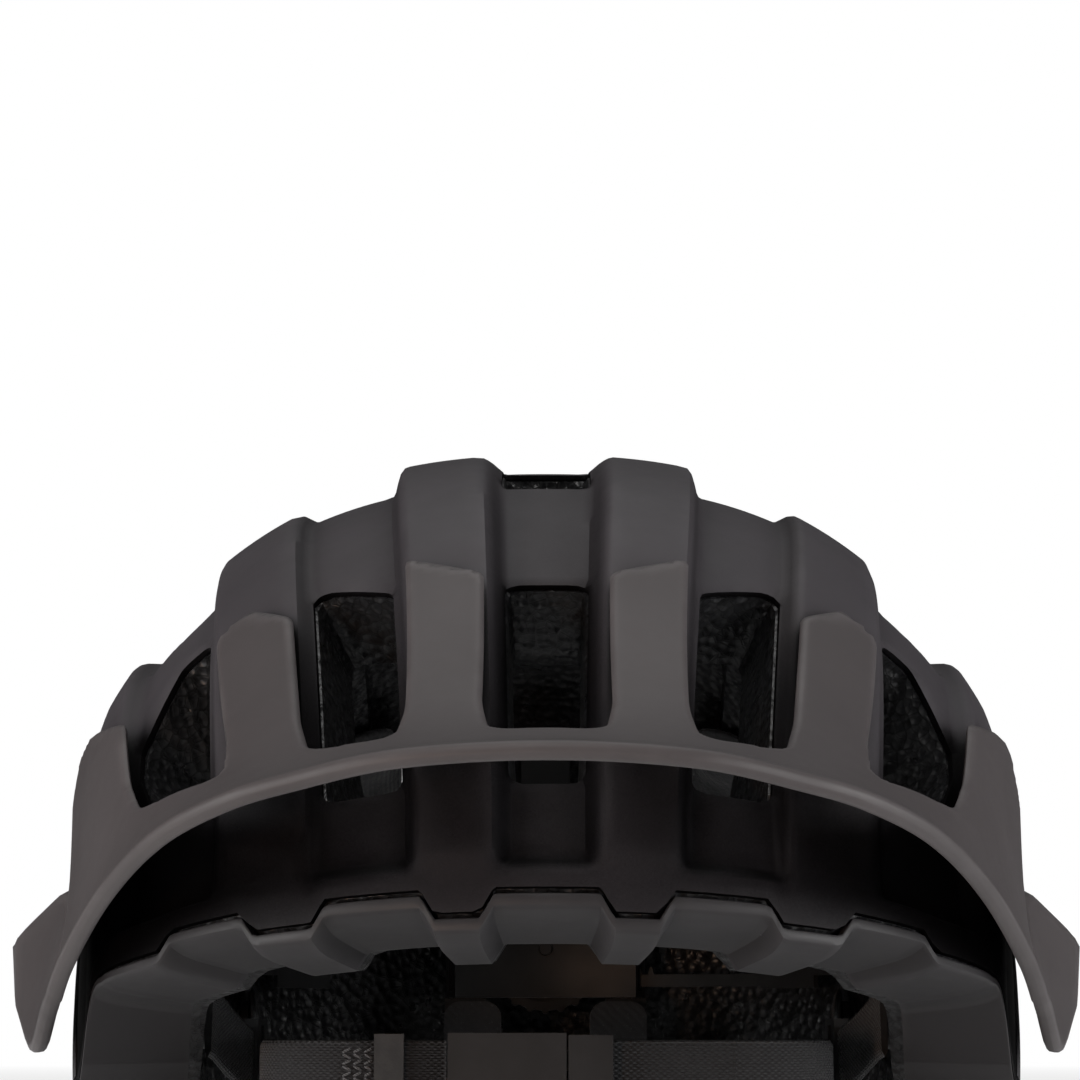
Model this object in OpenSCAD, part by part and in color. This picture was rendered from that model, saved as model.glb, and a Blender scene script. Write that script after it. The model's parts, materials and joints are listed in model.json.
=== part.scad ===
/* [Shell] */
// Half width of the round dome, before the sides tuck in
dome_side = 112; // [108:1:116]
// Distance from the fan centre to the front of the dome
dome_front = 142; // [139:1:145]
// Distance from the fan centre to the crown
dome_top = 132; // [129:1:135]
// Depth of the centre air channel below its ribs
channel_depth = 6.5; // [5:0.5:7]
// Thickness of the outer shell
shell_t = 1.6; // [1.4:0.1:1.8]
// Thickness of the foam liner
foam_t = 30; // [29:0.5:31]

/* [Visor] */
// Thickness of the visor
visor_t = 2.2; // [2:0.1:2.4]
// Clearance between the visor fingers and the ribs
finger_gap = 1.5; // [1.3:0.1:1.8]

/* [Retention] */
// Inner radius of the adjusting belts
belt_r = 74; // [73:0.5:74.5]
// Thickness of the belts
belt_t = 1.2; // [1:0.1:1.4]
// Radius of the fit dial
dial_r = 16; // [14:0.5:17]

/* [Harness] */
// Width of the webbing
web_w = 15; // [14:0.5:16]
// Thickness of the webbing
web_t = 1.4; // [1.2:0.1:1.6]

/* [Hidden] */
$fn = 48;
fan_z = 15;          // height of the point that all dome radii start from
brow_t = 10.6;       // fan angle of the rim at the brow
band_t = 4.3;        // height of the lower shell band at the nape, as an angle
arch_u = 9.8;        // how far the ear arch cuts into the side, as an angle
side_u = 75.4;       // side angle of the ear arch's top
piv_y = -32;         // visor pivot
piv_z = 40;
ring_y = 20;         // centre of the belt arcs
ring_z = 40;         // mid height of the belts
pin_a = 110;         // angle of the slide pins from the rear
pinion_r = 5;        // pitch radius of the fit pinion
tooth_n = 10;        // teeth on the pinion
loop_y = 6;          // axis that the chin loop swings about
loop_z = 10.5;
loop_x = 60;         // half width of the chin loop

// Rib pattern: column angles, and the surface's depth below the dome at each
COL = [0, 4.3, 5.8, 9.7, 13.6, 14.8, 22.8, 24, 28.2, 32.5, 34.2, 44.5, 46, 50.5, 55, 57, 59, 61.1];
DEP = [-channel_depth, -channel_depth, 0, 0, 0, -6, -5.5, -2.2, -2.2, -2.2, -7.5, -6.5, -2.2, -1.2,
    -1.5, -3, -2.5, -2];
ROW = [12.8, 15.2, 22, 29.5, 37, 44.5, 52, 58, 64, 70, 76, 82, 88, 94, 100, 106, 112, 118, 124, 130,
    136, 142, 148, 154, 160, 166, 172, 177, 182];
// Air vents: first column, last column, first row angle, last row angle
VENTS = [[0, 1, 22, 44.5], [0, 1, 64, 82], [5, 6, 22, 44.5], [5, 6, 94, 118],
    [5, 6, 136, 154], [10, 11, 29.5, 52], [10, 11, 64, 88], [10, 11, 106, 124], [10, 11, 148, 166],
    [15, 16, 64, 82], [15, 16, 106, 124], [16, 17, 44.5, 58]];
half_n = len(COL) - 1;
nu = 2 * half_n;
nt = len(ROW) - 1;

// ---- dome surface ----
function clamp(x) = min(1, max(0, x));
function ss(x) = let (c = clamp(x)) c * c * (3 - 2 * c);
function mix(a, b, f) = a + (b - a) * f;
arch_power = 2.15;   // exponent of the front half of the centre line, 2 is an ellipse
function profile(t) =
    pow(pow(abs(cos(t)) / dome_front, arch_power) + pow(abs(sin(t)) / dome_top, arch_power), -1 / arch_power)
    + 5 * exp(-pow((t - 158) / 16, 2));
function power(t) = 2.36 - 0.26 * (1 - ss((t - 10) / 60)) - 0.12 * ss((t - 120) / 60);
function env(s, t) = let (n = power(t))
    pow(pow(sin(abs(s)) / dome_side, n) + pow(cos(s) / profile(t), n), -1 / n)
    - 6 * ss((abs(s) - 58) / 32) - 5.5 * ss((abs(s) - 42) / 18) * (1 - ss((t - 35) / 50));
function spread(u, t) =
    u * (1 - 0.3 * (1 - ss(abs(u) / 58)) * (1 - ss((t - 12) / 68) + 0.6 * ss((t - 100) / 80)));
// A point at side angle u and fan angle t, off millimetres outside the dome
function dome(u, t, off) = let (s = spread(u, t), r = env(s, t) + off)
    [r * sin(s), -r * cos(s) * cos(t), fan_z + r * cos(s) * sin(t)];
// The liner's inner face, and points inside it
function cavity(u, t, off) = dome(u, t, off - foam_t + 3 * ss((abs(spread(u, t)) - 40) / 40));

// ---- rim line; m is 0 at the rim and 1 at the seam above the lower shell ----
function corner_u(m) = side_u - arch_u - 4.5 * m;
function corner_t(m) = -17 + 9 * m;
function rear_t(m) = 195 - 9 * m;
function front_edge(u, m) = let (top = brow_t + 2.2 * m)
    mix(top, corner_t(m), ss((u - 46) / (corner_u(m) - 46)));
function rear_edge(u, m) = let (low = 186.3 - band_t * m)
    mix(low, rear_t(m), ss((u - 20) / (corner_u(m) - 20)));
function side_edge(t, m) = side_u - 4.5 * m
    - arch_u * pow(min(1, abs(t - 89) / (106 - 9 * m)), 2.7);
// Castellations of the seam and rim
function notch(a, lo, hi) = min(clamp((a - lo) / 2.6 + 0.5), clamp((hi - a) / 2.6 + 0.5));
function teeth(x) = let (a = abs(x)) max(notch(a, 11.3, 22.5), notch(a, 43.5, 57.5), notch(a, 75, 91));

function col_u(i) = i < half_n ? -COL[half_n - i] : COL[i - half_n];
function col_dep(i) = DEP[abs(i - half_n)];
function row_k(j) = (ROW[j] - ROW[0]) / (ROW[nt] - ROW[0]);
// Side and fan angle of grid point i, j
function uv(i, j, m) = let (
    a = abs(col_u(i)), sg = sign(i - half_n), c = corner_u(m), c1 = corner_u(1),
    w = max(0, (a - 55) / (c1 - 55)), a2 = a <= 55 ? a : 55 + w * (c - 55),
    cast = j == 0 ? 1.85 * teeth(dome(a2, 10, 0)[0]) : 0,
    t = mix(front_edge(a2, m) - cast, rear_edge(a2, m), row_k(j)))
    [sg * (a2 + w * (side_edge(t, m) - c)), t];
// The ribs fade out towards the brow and the nape
relief_from = 15.2;  // the ribs rise out of the plain front brow here
relief_rise = 6.8;
relief_to = 182;     // and sink into the plain rear band here
relief_fall = 14;
function relief(i, j) =
    let (f = ss((ROW[j] - relief_from) / relief_rise) * ss((relief_to - ROW[j]) / relief_fall))
    mix(-1, col_dep(i), f);
function is_vent(i, j) = let (a = i >= half_n ? i - half_n : half_n - 1 - i)
    len([for (v = VENTS) if (a >= v[0] && a < v[1] && ROW[j] >= v[2] && ROW[j + 1] <= v[3]) 1]) > 0;

// ---- solids from grids ----
// Closed solid between two grids of points, with the cells that keep(i, j) is false for left out
module sheet(ni, nj, outer, inner, keep = function (i, j) true) {
    w = nj + 1;
    half = (ni + 1) * w;
    pts = concat(
        [for (i = [0:ni]) for (j = [0:nj]) outer(i, j)],
        [for (i = [0:ni]) for (j = [0:nj]) inner(i, j)]);
    live = function (i, j) i >= 0 && j >= 0 && i < ni && j < nj && keep(i, j);
    wall = function (a, b) [[b, a, a + half], [b, a + half, b + half]];
    faces = [for (i = [0:ni - 1]) for (j = [0:nj - 1]) if (live(i, j))
        let (a = i * w + j, b = a + 1, c = a + w + 1, d = a + w)
        for (f = concat([[a, b, c], [a, c, d]],
                [[a + half, c + half, b + half], [a + half, d + half, c + half]],
            live(i - 1, j) ? [] : wall(a, b), live(i, j + 1) ? [] : wall(b, c),
            live(i + 1, j) ? [] : wall(c, d), live(i, j - 1) ? [] : wall(d, a))) f];
    polyhedron(pts, faces);
}

// Soft pad lying inside the liner, from angle u0 to u1 and t0 to t1
module pad(u0, u1, t0, t1, thick, n = 6, m = 6, lift = 1.3) {
    at = function (i, j, off) let (
        e = min(1, 0.45 + 0.55 * ss(4 * min(i / n, 1 - i / n)) * ss(4 * min(j / m, 1 - j / m))))
        cavity(mix(u0, u1, i / n), mix(t0, t1, j / m), -lift - off * e);
    sheet(n, m, function (i, j) at(i, j, 0), function (i, j) at(i, j, thick));
}

module side_copy(side) {
    if (side > 0) {
        children();
    } else {
        mirror([1, 0, 0]) children();
    }
}

// ---- shells and liner ----
module outer_shell() {
    color([0.24, 0.23, 0.25])
        sheet(nu, nt,
            function (i, j) let (p = uv(i, j, 1)) dome(p[0], p[1], relief(i, j)),
            function (i, j) let (p = uv(i, j, 1)) dome(p[0], p[1], relief(i, j) - shell_t),
            function (i, j) !is_vent(i, j));
}

foam_gap = 0.25;
foam_m = 0.17;       // the liner stops inside the lower shell
liner_z = 2.4;       // lowest height of the liner
channel_cut = 11;    // depth of the hanger's channel in the liner
function above(low, p) = [p[0], p[1], max(low, p[2])];
// Liner grid: the shell's grid with one more ring of points around it
function liner_uv(i, j) = let (a = min(nu, max(0, i)), b = min(nt, max(0, j)))
    uv(a, b, i < 0 || j < 0 || i > nu || j > nt ? foam_m : 1);
function liner_out(i, j) = i < 0 || j < 0 || i > nu || j > nt ? -6.6 : relief(i, j) - shell_t - foam_gap;
function in_channel(i, j) = abs(i - half_n) <= 4 && j >= 18;
module foam_liner() {
    color([0.07, 0.07, 0.08])
        sheet(nu + 2, nt + 2,
            function (i, j) let (p = liner_uv(i - 1, j - 1), off = liner_out(i - 1, j - 1))
                above(liner_z, dome(p[0], p[1], off)),
            function (i, j) let (p = liner_uv(i - 1, j - 1))
                above(liner_z, cavity(p[0], p[1], in_channel(i - 1, j - 1) ? channel_cut : 0)),
            function (i, j) i == 0 || j == 0 || i > nu || j > nt || !is_vent(i - 1, j - 1));
}

// Rim section: inset along the surface, depth below the dome,
// height where it turns flat, and the flat's height
RIM = [[0.93, -1.2, 0.8, 0.8], [0.05, -4, 2.8, 0], [-0.04, -26, 2.8, 0],
    [0.06, -26, 1, 1], [0.1, -6, 1.6, 1.6], [0.93, -2.9, 1.8, 1.8]];
rim_n = 2 * (nu + nt);
function rim_ij(k) = k < nu ? [k, 0] : k < nu + nt ? [nu, k - nu] : k < 2 * nu + nt ? [2 * nu + nt - k, nt]
    : [0, rim_n - k];
// Points lower than a ring's limit drop onto the flat foot
function on_foot(p, q) = [p[0], p[1], p[2] < q[2] ? q[3] : p[2]];
module lower_shell() {
    n = len(RIM);
    pts = [for (k = [0:rim_n - 1]) for (q = RIM)
        let (g = rim_ij(k), p = uv(g[0], g[1], q[0])) on_foot(dome(p[0], p[1], q[1]), q)];
    color([0.2, 0.19, 0.2])
        polyhedron(pts, [for (k = [0:rim_n - 1]) for (q = [0:n - 1])
            let (a = k * n + q, b = k * n + (q + 1) % n, c = ((k + 1) % rim_n) * n + (q + 1) % n,
                d = ((k + 1) % rim_n) * n + q)
            for (f = [[a, c, b], [a, d, c]]) f]);
}

// ---- visor ----
VU = [0, 3.1, 6.2, 9.7, 13.2, 17, 21, 24.6, 28.3, 32, 36.9, 41.8, 46.6, 50.3, 54, 58, 62, 66];
VF = [[2, 4], [7, 9], [12, 14]];      // columns that carry a finger
v_half = len(VU) - 1;
v_rows = 7;
LIP_U = [0, 13.2, 24.6, 32, 40, 46.6, 54, 58, 62, 66];
LIP = [[0, -181, 67], [26, -178.6, 65.7], [45, -170, 62.3], [58, -162, 59], [71, -147, 53.5],
    [83, -124, 44.5], [93.5, -97, 32.5], [99.5, -76, 23], [105, -54, 15], [112.5, -33, 27]];
WING = [[100, -45, 48.5], [107.5, -36, 40], [114.2, -27, 37.5]];   // upper edge behind the last finger
function spline(a, b, c, d, f) =
    0.5 * (2 * b + (c - a) * f + (2 * a - 5 * b + 4 * c - d) * f * f + (3 * b - a - 3 * c + d) * f * f * f);
function lip_at(u) = let (
    k = min(len(LIP) - 2, len([for (v = LIP_U) if (v <= u) 1]) - 1),
    f = (u - LIP_U[k]) / (LIP_U[k + 1] - LIP_U[k]),
    b = LIP[k], c = LIP[k + 1], a = k > 0 ? LIP[k - 1] : [-c[0], c[1], c[2]],
    d = k + 2 < len(LIP) ? LIP[k + 2] : 2 * c - b) spline(a, b, c, d, f);
function tip_t(u) = u < 20 ? mix(40.7, 43.9, (u - 6.2) / 7) : u < 40 ? mix(40.8, 45, (u - 24.6) / 4) : 53;
function rib_off(u) = u < 20 ? 0 : -2.2 + 1 * ss((u - 44) / 5);
function tip_at(u) = dome(u, tip_t(u), rib_off(u) + finger_gap);
// Cubic from the finger tip, leaving along the rib, to the lip
function brim(u, v) = let (
    p = tip_at(u), l = lip_at(u), s = spread(u, tip_t(u)), len1 = 0.42 * norm(l - p),
    down = dome(u, tip_t(u) - 6, rib_off(u) + finger_gap) - p,
    p1 = p + down / norm(down) * len1, p2 = l + [0, 0.34, 0.06] * norm(l - p),
    a = 1 - v) a * a * a * l + 3 * a * a * v * p2 + 3 * a * v * v * p1 + v * v * v * p;
function bar_v(u) = 0.17 + 0.15 * ss(u / 54);
function visor_pt(i, j) = let (k = abs(i - v_half), u = VU[k], sg = i < v_half ? -1 : 1,
    p = k > 14 ? mix(lip_at(u), WING[k - 15], j / 2)
        : brim(u, j <= 2 ? bar_v(u) * j / 2 : mix(bar_v(u), 1, (j - 2) / (v_rows - 2))))
    [sg * p[0], p[1], p[2]];
function visor_keep(i, j) = let (k = i >= v_half ? i - v_half : v_half - 1 - i)
    j < 2 || len([for (f = VF) if (k >= f[0] && k < f[1]) 1]) > 0;
// Thickness is laid on outward, away from the ribs
function visor_out(i, j) = let (p = visor_pt(i, j), q = p - [0, 20, 20]) p + visor_t * q / norm(q);
module visor() {
    color([0.33, 0.31, 0.31])
        sheet(2 * v_half, v_rows, function (i, j) visor_out(i, j), function (i, j) visor_pt(i, j),
            function (i, j) visor_keep(i, j));
}

stud_in = 90;        // inner end of the stud
stud_out = 109;      // the stud's head is moulded into the visor
// Snap stud that carries one end of the visor
module visor_stud(side) {
    color([0.15, 0.15, 0.16]) side_copy(side) translate([0, piv_y, piv_z]) rotate([0, 90, 0]) {
        translate([0, 0, stud_in]) cylinder(h = stud_out - stud_in, r = 2);
        translate([0, 0, 103.5]) cylinder(h = stud_out - 103.5, r = 4.5);
    }
}

// Bushed socket in the liner for the stud
module pivot_socket(side) {
    color([0.2, 0.2, 0.21]) side_copy(side) translate([0, piv_y, piv_z]) rotate([0, 90, 0])
        difference() {
            translate([0, 0, 80]) cylinder(h = 21.5, r = 3);
            translate([0, 0, 84]) cylinder(h = 20, r = 2.1);
        }
}

// ---- pads ----
module brow_pad() {
    color([0.05, 0.05, 0.06]) pad(-42, 42, 14, 27, 6, 14, 4);
}
module crown_pads() {
    color([0.05, 0.05, 0.06]) {
        pad(-4.5, 4.5, 87, 114, 5, 3, 8);
        for (s = [-1, 1]) pad(s < 0 ? -30 : 9, s < 0 ? -9 : 30, 62, 88, 5, 5, 6);
    }
}
module side_pad(side) {
    color([0.05, 0.05, 0.06]) side_copy(side) pad(44, 56, 62, 122, 5, 4, 10);
}
module rear_pads() {
    color([0.05, 0.05, 0.06]) for (s = [-1, 1]) pad(s < 0 ? -34 : 20, s < 0 ? -20 : 34, 128, 150, 5, 4, 6);
}
module hook_dots() {
    spots = [[0, 19], [0, 92], [0, 108], [-26, 19], [26, 19], [-20, 75], [20, 75], [-50, 75], [50, 75],
        [-50, 108], [50, 108], [-27, 139], [27, 139]];
    color([0.3, 0.3, 0.3]) for (p = spots)
        sheet(2, 2, function (i, j) cavity(p[0] - 3 + 3 * i, p[1] - 2.5 + 2.5 * j, -0.3),
            function (i, j) cavity(p[0] - 3 + 3 * i, p[1] - 2.5 + 2.5 * j, -0.9));
}

// ---- fit system ----
module arc(r, t, a0, a1, z0, z1) {
    translate([0, ring_y, 0]) rotate([0, 0, a0 + 90])
        rotate_extrude(angle = a1 - a0, $fn = 180) translate([r, z0]) square([t, z1 - z0]);
}
// Places children at an angle around the belt arc, measured from the rear towards -X
module on_arc(a, r, z) {
    translate([0, ring_y, z]) rotate([0, 0, a]) translate([0, r, 0]) children();
}
slot_h = 7.4;        // height of the slot that the slide pin runs in
pitch_a = 360 * pinion_r / tooth_n / belt_r;     // belt angle of one tooth

tail_a = 17;         // the toothed tail reaches this far past the dial
shoulder_a = 45;     // the tail widens into the belt here, clear of the other belt's tail
slim_a = 60;         // the belt slims again from here to the neck
neck_a = 103;        // the neck carries the slide pin
belt_end = 113;
belt_w = 20;
slim_w = 14;
neck_w = 5.8;
tail_top = 9.4;      // upper edge of the tail, above the middle of the belt
// Removes a band of the belt between two angles and two heights
module belt_cut(a0, a1, z0, z1) {
    arc(belt_r - 1, belt_t + 2, a0, a1, ring_z + min(z0, z1), ring_z + max(z0, z1));
}
// Belt with rack teeth facing the pinion; up is 1 when the belt passes above it
module belt(up) {
    rack = pinion_r + 1.4;
    color([0.12, 0.12, 0.13]) {
        difference() {
            arc(belt_r, belt_t, -tail_a, belt_end, ring_z - belt_w / 2, ring_z + belt_w / 2);
            for (s = [-1, 1]) {
                belt_cut(slim_a, neck_a + 1, s * slim_w / 2, s * 20);
                belt_cut(neck_a, belt_end + 2, s * neck_w / 2, s * 20);
            }
            belt_cut(-tail_a - 2, shoulder_a, up * rack, -up * 20);
            belt_cut(-tail_a - 2, shoulder_a, up * tail_top, up * 20);
        }
        for (k = [-7:8]) on_arc((k + 0.5) * pitch_a, belt_r + belt_t / 2, ring_z + up * rack)
            rotate([up > 0 ? 180 : 0, 0, 0]) rotate([90, 0, 0]) translate([0, 0, 0.15 - belt_t / 2])
                linear_extrude(belt_t - 0.3) polygon([[-0.95, -0.5], [0.95, -0.5], [0.3, 1.8], [-0.3, 1.8]]);
    }
}
module headband_left() {
    belt(1);
}
module headband_right() {
    mirror([1, 0, 0]) belt(-1);
}
module slide_pin(side) {
    color([0.4, 0.4, 0.42]) on_arc(side * pin_a, 0, ring_z) rotate([-90, 0, 0])
        translate([0, 0, belt_r - 1.5]) union() {
            cylinder(h = 5.2, r = 2);
            cylinder(h = 1.4, r = 2.6);
        }
}
// Fixed temple arm with the slot for the slide pin
module temple_arm(side) {
    play = 0.6;              // clearance to the belt inside it
    plate_t = 1.2;
    plate_h = 14;
    plate_a = [91, 114];     // where the slotted plate starts and ends around the head
    slot_a = [93.5, 112.6];
    arm_a = 113;             // the straight arm leaves the plate here
    arm_t = 1.9;
    arm_h = 12;
    tip = [65.2, -58];       // its front end, at the snap anchor
    r = belt_r + belt_t + play;
    front = [r * sin(arm_a), ring_y + r * cos(arm_a)];
    run = tip - front;
    color([0.12, 0.12, 0.13]) side_copy(side) {
        mirror([1, 0, 0]) difference() {
            arc(r, plate_t, plate_a[0], plate_a[1], ring_z - plate_h / 2, ring_z + plate_h / 2);
            arc(r - 1, plate_t + 2, slot_a[0], slot_a[1], ring_z - slot_h / 2, ring_z + slot_h / 2);
        }
        translate([front[0], front[1], ring_z - arm_h / 2]) rotate([0, 0, atan2(run[1], run[0])])
            translate([0, -0.4, 0]) cube([norm(run), arm_t, arm_h]);
    }
}
module temple_anchors() {
    anchor = [66.9, -56];
    anchor_r = 4;
    anchor_t = 2;
    wall_a = 6;              // the side wall of the foam leans out this much here
    color([0.3, 0.3, 0.32]) for (s = [-1, 1]) side_copy(s)
        translate([anchor[0], anchor[1], ring_z]) rotate([0, 90, wall_a])
            cylinder(h = anchor_t, r = anchor_r);
}

dial_y = ring_y + belt_r;
house_a = 18.5;      // half angle of the dial housing around the belt arc
house_half = 12;     // half its height
house_t = 2;         // wall of each half shell
house_in = 3.6;      // inner face of the front half shell, ahead of the belt arc
lid_t = 1.6;         // top and bottom walls
module dial_housing_front() {
    bore_r = 1.7;
    color([0.12, 0.12, 0.13]) difference() {
        arc(belt_r - house_in, house_t, -house_a, house_a, ring_z - house_half, ring_z + house_half);
        translate([0, dial_y - 6, ring_z]) rotate([-90, 0, 0]) cylinder(h = 6, r = bore_r);
    }
}
module dial_housing_rear() {
    bore_r = 3.1;
    lid_r = belt_r - house_in + house_t;
    lid_z = house_half - lid_t / 2;
    color([0.12, 0.12, 0.13]) difference() {
        union() {
            arc(belt_r + house_t, house_t, -house_a, house_a, ring_z - house_half, ring_z + house_half);
            for (s = [-1, 1]) translate([0, 0, ring_z + s * lid_z])
                arc(lid_r, 4, -house_a, house_a, -lid_t / 2, lid_t / 2);
        }
        translate([0, dial_y, ring_z]) rotate([-90, 0, 0]) cylinder(h = 6, r = bore_r);
    }
}
module dial_shaft() {
    gap = 0.22;
    color([0.8, 0.8, 0.78]) translate([0, dial_y, ring_z]) rotate([-90, 0, 0]) {
        translate([0, 0, -1.5]) linear_extrude(2.9) {
            circle(r = pinion_r - 1.35);
            for (k = [0:tooth_n - 1]) rotate(k * 360 / tooth_n) translate([0, pinion_r - 1.5])
                polygon([[-0.95 + gap, 0], [0.95 - gap, 0], [0.62 - gap, 1.5], [0.36 - gap, 2.3],
                    [-0.36 + gap, 2.3], [-0.62 + gap, 1.5]]);
        }
        translate([0, 0, -5]) cylinder(h = 4, r = 1.5);
        translate([0, 0, 1.3]) cylinder(h = 5.2, r = 2.9);
    }
}
module dial_knob() {
    knob_h = 9;
    grip_n = 24;     // grip ridges around the knob
    grip_r = 0.9;
    color([0.16, 0.16, 0.17]) translate([0, dial_y + 4.6, ring_z]) rotate([-90, 0, 0]) difference() {
        union() {
            cylinder(h = knob_h, r = dial_r - 0.8);
            for (k = [1:grip_n])
                rotate(k * 360 / grip_n) translate([dial_r - grip_r, 0, 0])
                    cylinder(h = knob_h, r = grip_r, $fn = 16);
        }
        translate([0, 0, -0.5]) cylinder(h = 5.5, r = 2.95);
        translate([0, 0, -0.5]) difference() {
            cylinder(h = 3.5, r = dial_r - 3);
            cylinder(h = 4, r = 5);
        }
        translate([0, 0, 3]) cylinder(h = 8, r = 1);
    }
}
module click_spring() {
    color([0.75, 0.75, 0.73]) translate([0, dial_y + 5.2, ring_z]) rotate([-90, 0, 0]) difference() {
        cylinder(h = 1, r = dial_r - 4);
        translate([0, 0, -1]) cylinder(h = 3, r = dial_r - 5.2);
    }
}
module dial_screw() {
    color([0.7, 0.7, 0.7]) translate([0, dial_y + 7.7, ring_z]) rotate([-90, 0, 0]) union() {
        cylinder(h = 6, r = 0.9);
        translate([0, 0, 6]) cylinder(h = 1.2, r = 2.6);
    }
}
// Hanger: a strap that follows the arc that the cradle tilts on
hang_y = ring_y + belt_r * cos(pin_a);
hang_r = dial_y - hang_y - 2.6;
module hang_arc(r, t, a0, a1, x, w) {
    translate([x - w / 2, hang_y, ring_z]) rotate([90, 0, 90]) rotate([0, 0, a0])
        rotate_extrude(angle = a1 - a0, $fn = 180) translate([r, 0]) square([t, w]);
}
module cradle_hanger() {
    color([0.1, 0.1, 0.11]) {
        hang_arc(hang_r, 1.8, 7.3, 29, 0, 12);
        hang_arc(hang_r, 1.8, 7.3, 14, 0, 40);
    }
}
module cradle_yoke() {
    yoke_t = 1.8;
    post_w = 10;
    post_h = 13.7;
    bar_w = 50;
    bar_h = 5;
    drop = 30;       // from the belt's centre line down to the bar
    color([0.1, 0.1, 0.11]) {
        for (s = [-1, 1]) translate([s * 20 - post_w / 2, dial_y - house_in, ring_z - drop + 4])
            cube([post_w, yoke_t, post_h]);
        translate([-bar_w / 2, dial_y - house_in, ring_z - drop]) cube([bar_w, yoke_t, bar_h]);
    }
}
module occiput_pads() {
    color([0.05, 0.05, 0.06]) for (s = [-1, 1]) translate([s * 18 - 7, dial_y - 3.6, ring_z - 31])
        rotate([90, 0, 0]) linear_extrude(4.8) offset(r = 4) translate([4, 4]) square([6, 10]);
}
module hanger_guide() {
    color([0.2, 0.2, 0.22]) for (s = [-1, 1]) {
        hang_arc(hang_r - 1.2, 4.4, 20, 24, s * 8.4, 4);
        hang_arc(hang_r + 2.4, 0.8, 20, 24, s * 4, 5);
    }
}

// ---- harness ----
module ribbon(a, b) {
    hull() {
        translate(a) cube([web_t, 0.6, web_w], center = true);
        translate(b) cube([web_t, 0.6, web_w], center = true);
    }
}
front_anchor = [71.5, -34, 21];
rear_anchor = [71, 60, 22];
module strap_anchors() {
    disc_r = 5;
    disc_t = 1.6;
    color([0.3, 0.3, 0.32]) for (s = [-1, 1]) side_copy(s) for (p = [front_anchor, rear_anchor])
        translate(p) rotate([0, 90, 0]) cylinder(h = disc_t, r = disc_r);
}
module front_strap(side) {
    color([0.06, 0.06, 0.07]) side_copy(side) ribbon(front_anchor - [1.1, 0, 0], [65.2, -6.6, 13]);
}
module rear_strap(side) {
    color([0.06, 0.06, 0.07]) side_copy(side) ribbon(rear_anchor - [1.2, 0, 0], [65.2, 18.6, 13]);
}
lever_y = 6;         // the lever turns about this line across the head
lever_z = 18;
module divider(side) {
    body = [3.2, 24, 19];
    pocket = [3.2, 8, 6];    // hollow behind the lever
    chin_pin_r = 1.6;
    lever_pin_r = 1.2;
    color([0.12, 0.12, 0.13]) side_copy(side) {
        difference() {
            translate([63.6, -6, 3.5]) cube(body);
            translate([62, 2, 15]) cube(pocket);
        }
        translate([57.4, loop_y, loop_z]) rotate([0, 90, 0]) cylinder(h = 7, r = chin_pin_r);
        translate([66.6, lever_y, lever_z]) rotate([0, 90, 0]) cylinder(h = 4.4, r = lever_pin_r);
    }
}
module divider_lever(side) {
    lever_x = 68.2;
    lever_t = 1.8;
    reach = 10;              // from the pin to the thumb end
    color([0.35, 0.35, 0.37]) side_copy(side) difference() {
        hull() {
            translate([lever_x, lever_y, lever_z]) rotate([0, 90, 0])
                cylinder(h = lever_t, r = 3.2, $fn = 32);
            translate([lever_x, lever_y, lever_z - reach]) rotate([0, 90, 0])
                cylinder(h = lever_t, r = 2.2, $fn = 32);
        }
        translate([lever_x - 1.2, lever_y, lever_z]) rotate([0, 90, 0]) cylinder(h = 5, r = 1.35);
    }
}
loop_front = -70;    // straight front of the chin loop
bend_r = 22;
module loop_path(x0, x1) {
    intersection() {
        difference() {
            offset(r = bend_r) offset(delta = -bend_r)
                translate([-loop_x, loop_front]) square([2 * loop_x, 140]);
            offset(r = bend_r - web_t) offset(delta = -bend_r)
                translate([-loop_x, loop_front]) square([2 * loop_x, 140]);
        }
        translate([x0, loop_front - 5]) square([x1 - x0, 70]);
    }
}
module chin_strap(side) {
    near = side < 0 ? 20 : 38;   // one side meets the plug, the other the socket
    eye_r = 4.2;
    eye_w = 3.2;
    eye_bore = 1.75;
    tab = 8;                     // sewn tab between the webbing and its eye
    color([0.06, 0.06, 0.07]) side_copy(side) {
        translate([0, 0, 3]) linear_extrude(web_w) intersection() {
            loop_path(near, loop_x + 1);
            translate([-100, -100]) square([200, 100 + loop_y - 4.6]);
        }
        translate([57.6, loop_y, loop_z]) rotate([0, 90, 0]) difference() {
            union() {
                cylinder(h = eye_w, r = eye_r);
                translate([-tab / 2, -tab, 1]) cube([tab, tab, web_t]);
            }
            translate([0, 0, -1]) cylinder(h = 6, r = eye_bore);
        }
    }
}
socket_box = [24, 9.6, 17.8];
socket_mouth = [20, 5.6, 13];
plug_box = [9, 9.2, 17];
prong = [13.6, 4.8, 3.4];    // two outer prongs latch in the socket
guide = [10.6, 4, 3];        // the middle one guides them
module buckle_socket() {
    color([0.1, 0.1, 0.11]) difference() {
        translate([-20, loop_front - 4.2, 1.6]) cube(socket_box);
        translate([-14, loop_front - 2.2, 4]) cube(socket_mouth);
    }
}
module buckle_plug() {
    color([0.1, 0.1, 0.11]) {
        translate([4.4, loop_front - 4, 2]) cube(plug_box);
        for (z = [5, 12.4]) translate([-9, loop_front - 1.8, z]) cube(prong);
        translate([-6, loop_front - 1.4, 8.8]) cube(guide);
    }
}
module strap_keeper() {
    color([0.08, 0.08, 0.08]) translate([-35, loop_front - 1.5, 1.8]) difference() {
        cube([6, web_t + 3, web_w + 2.4]);
        translate([-1, 1.25, 0.9]) cube([8, web_t + 0.5, web_w + 0.6]);
    }
}

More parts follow.
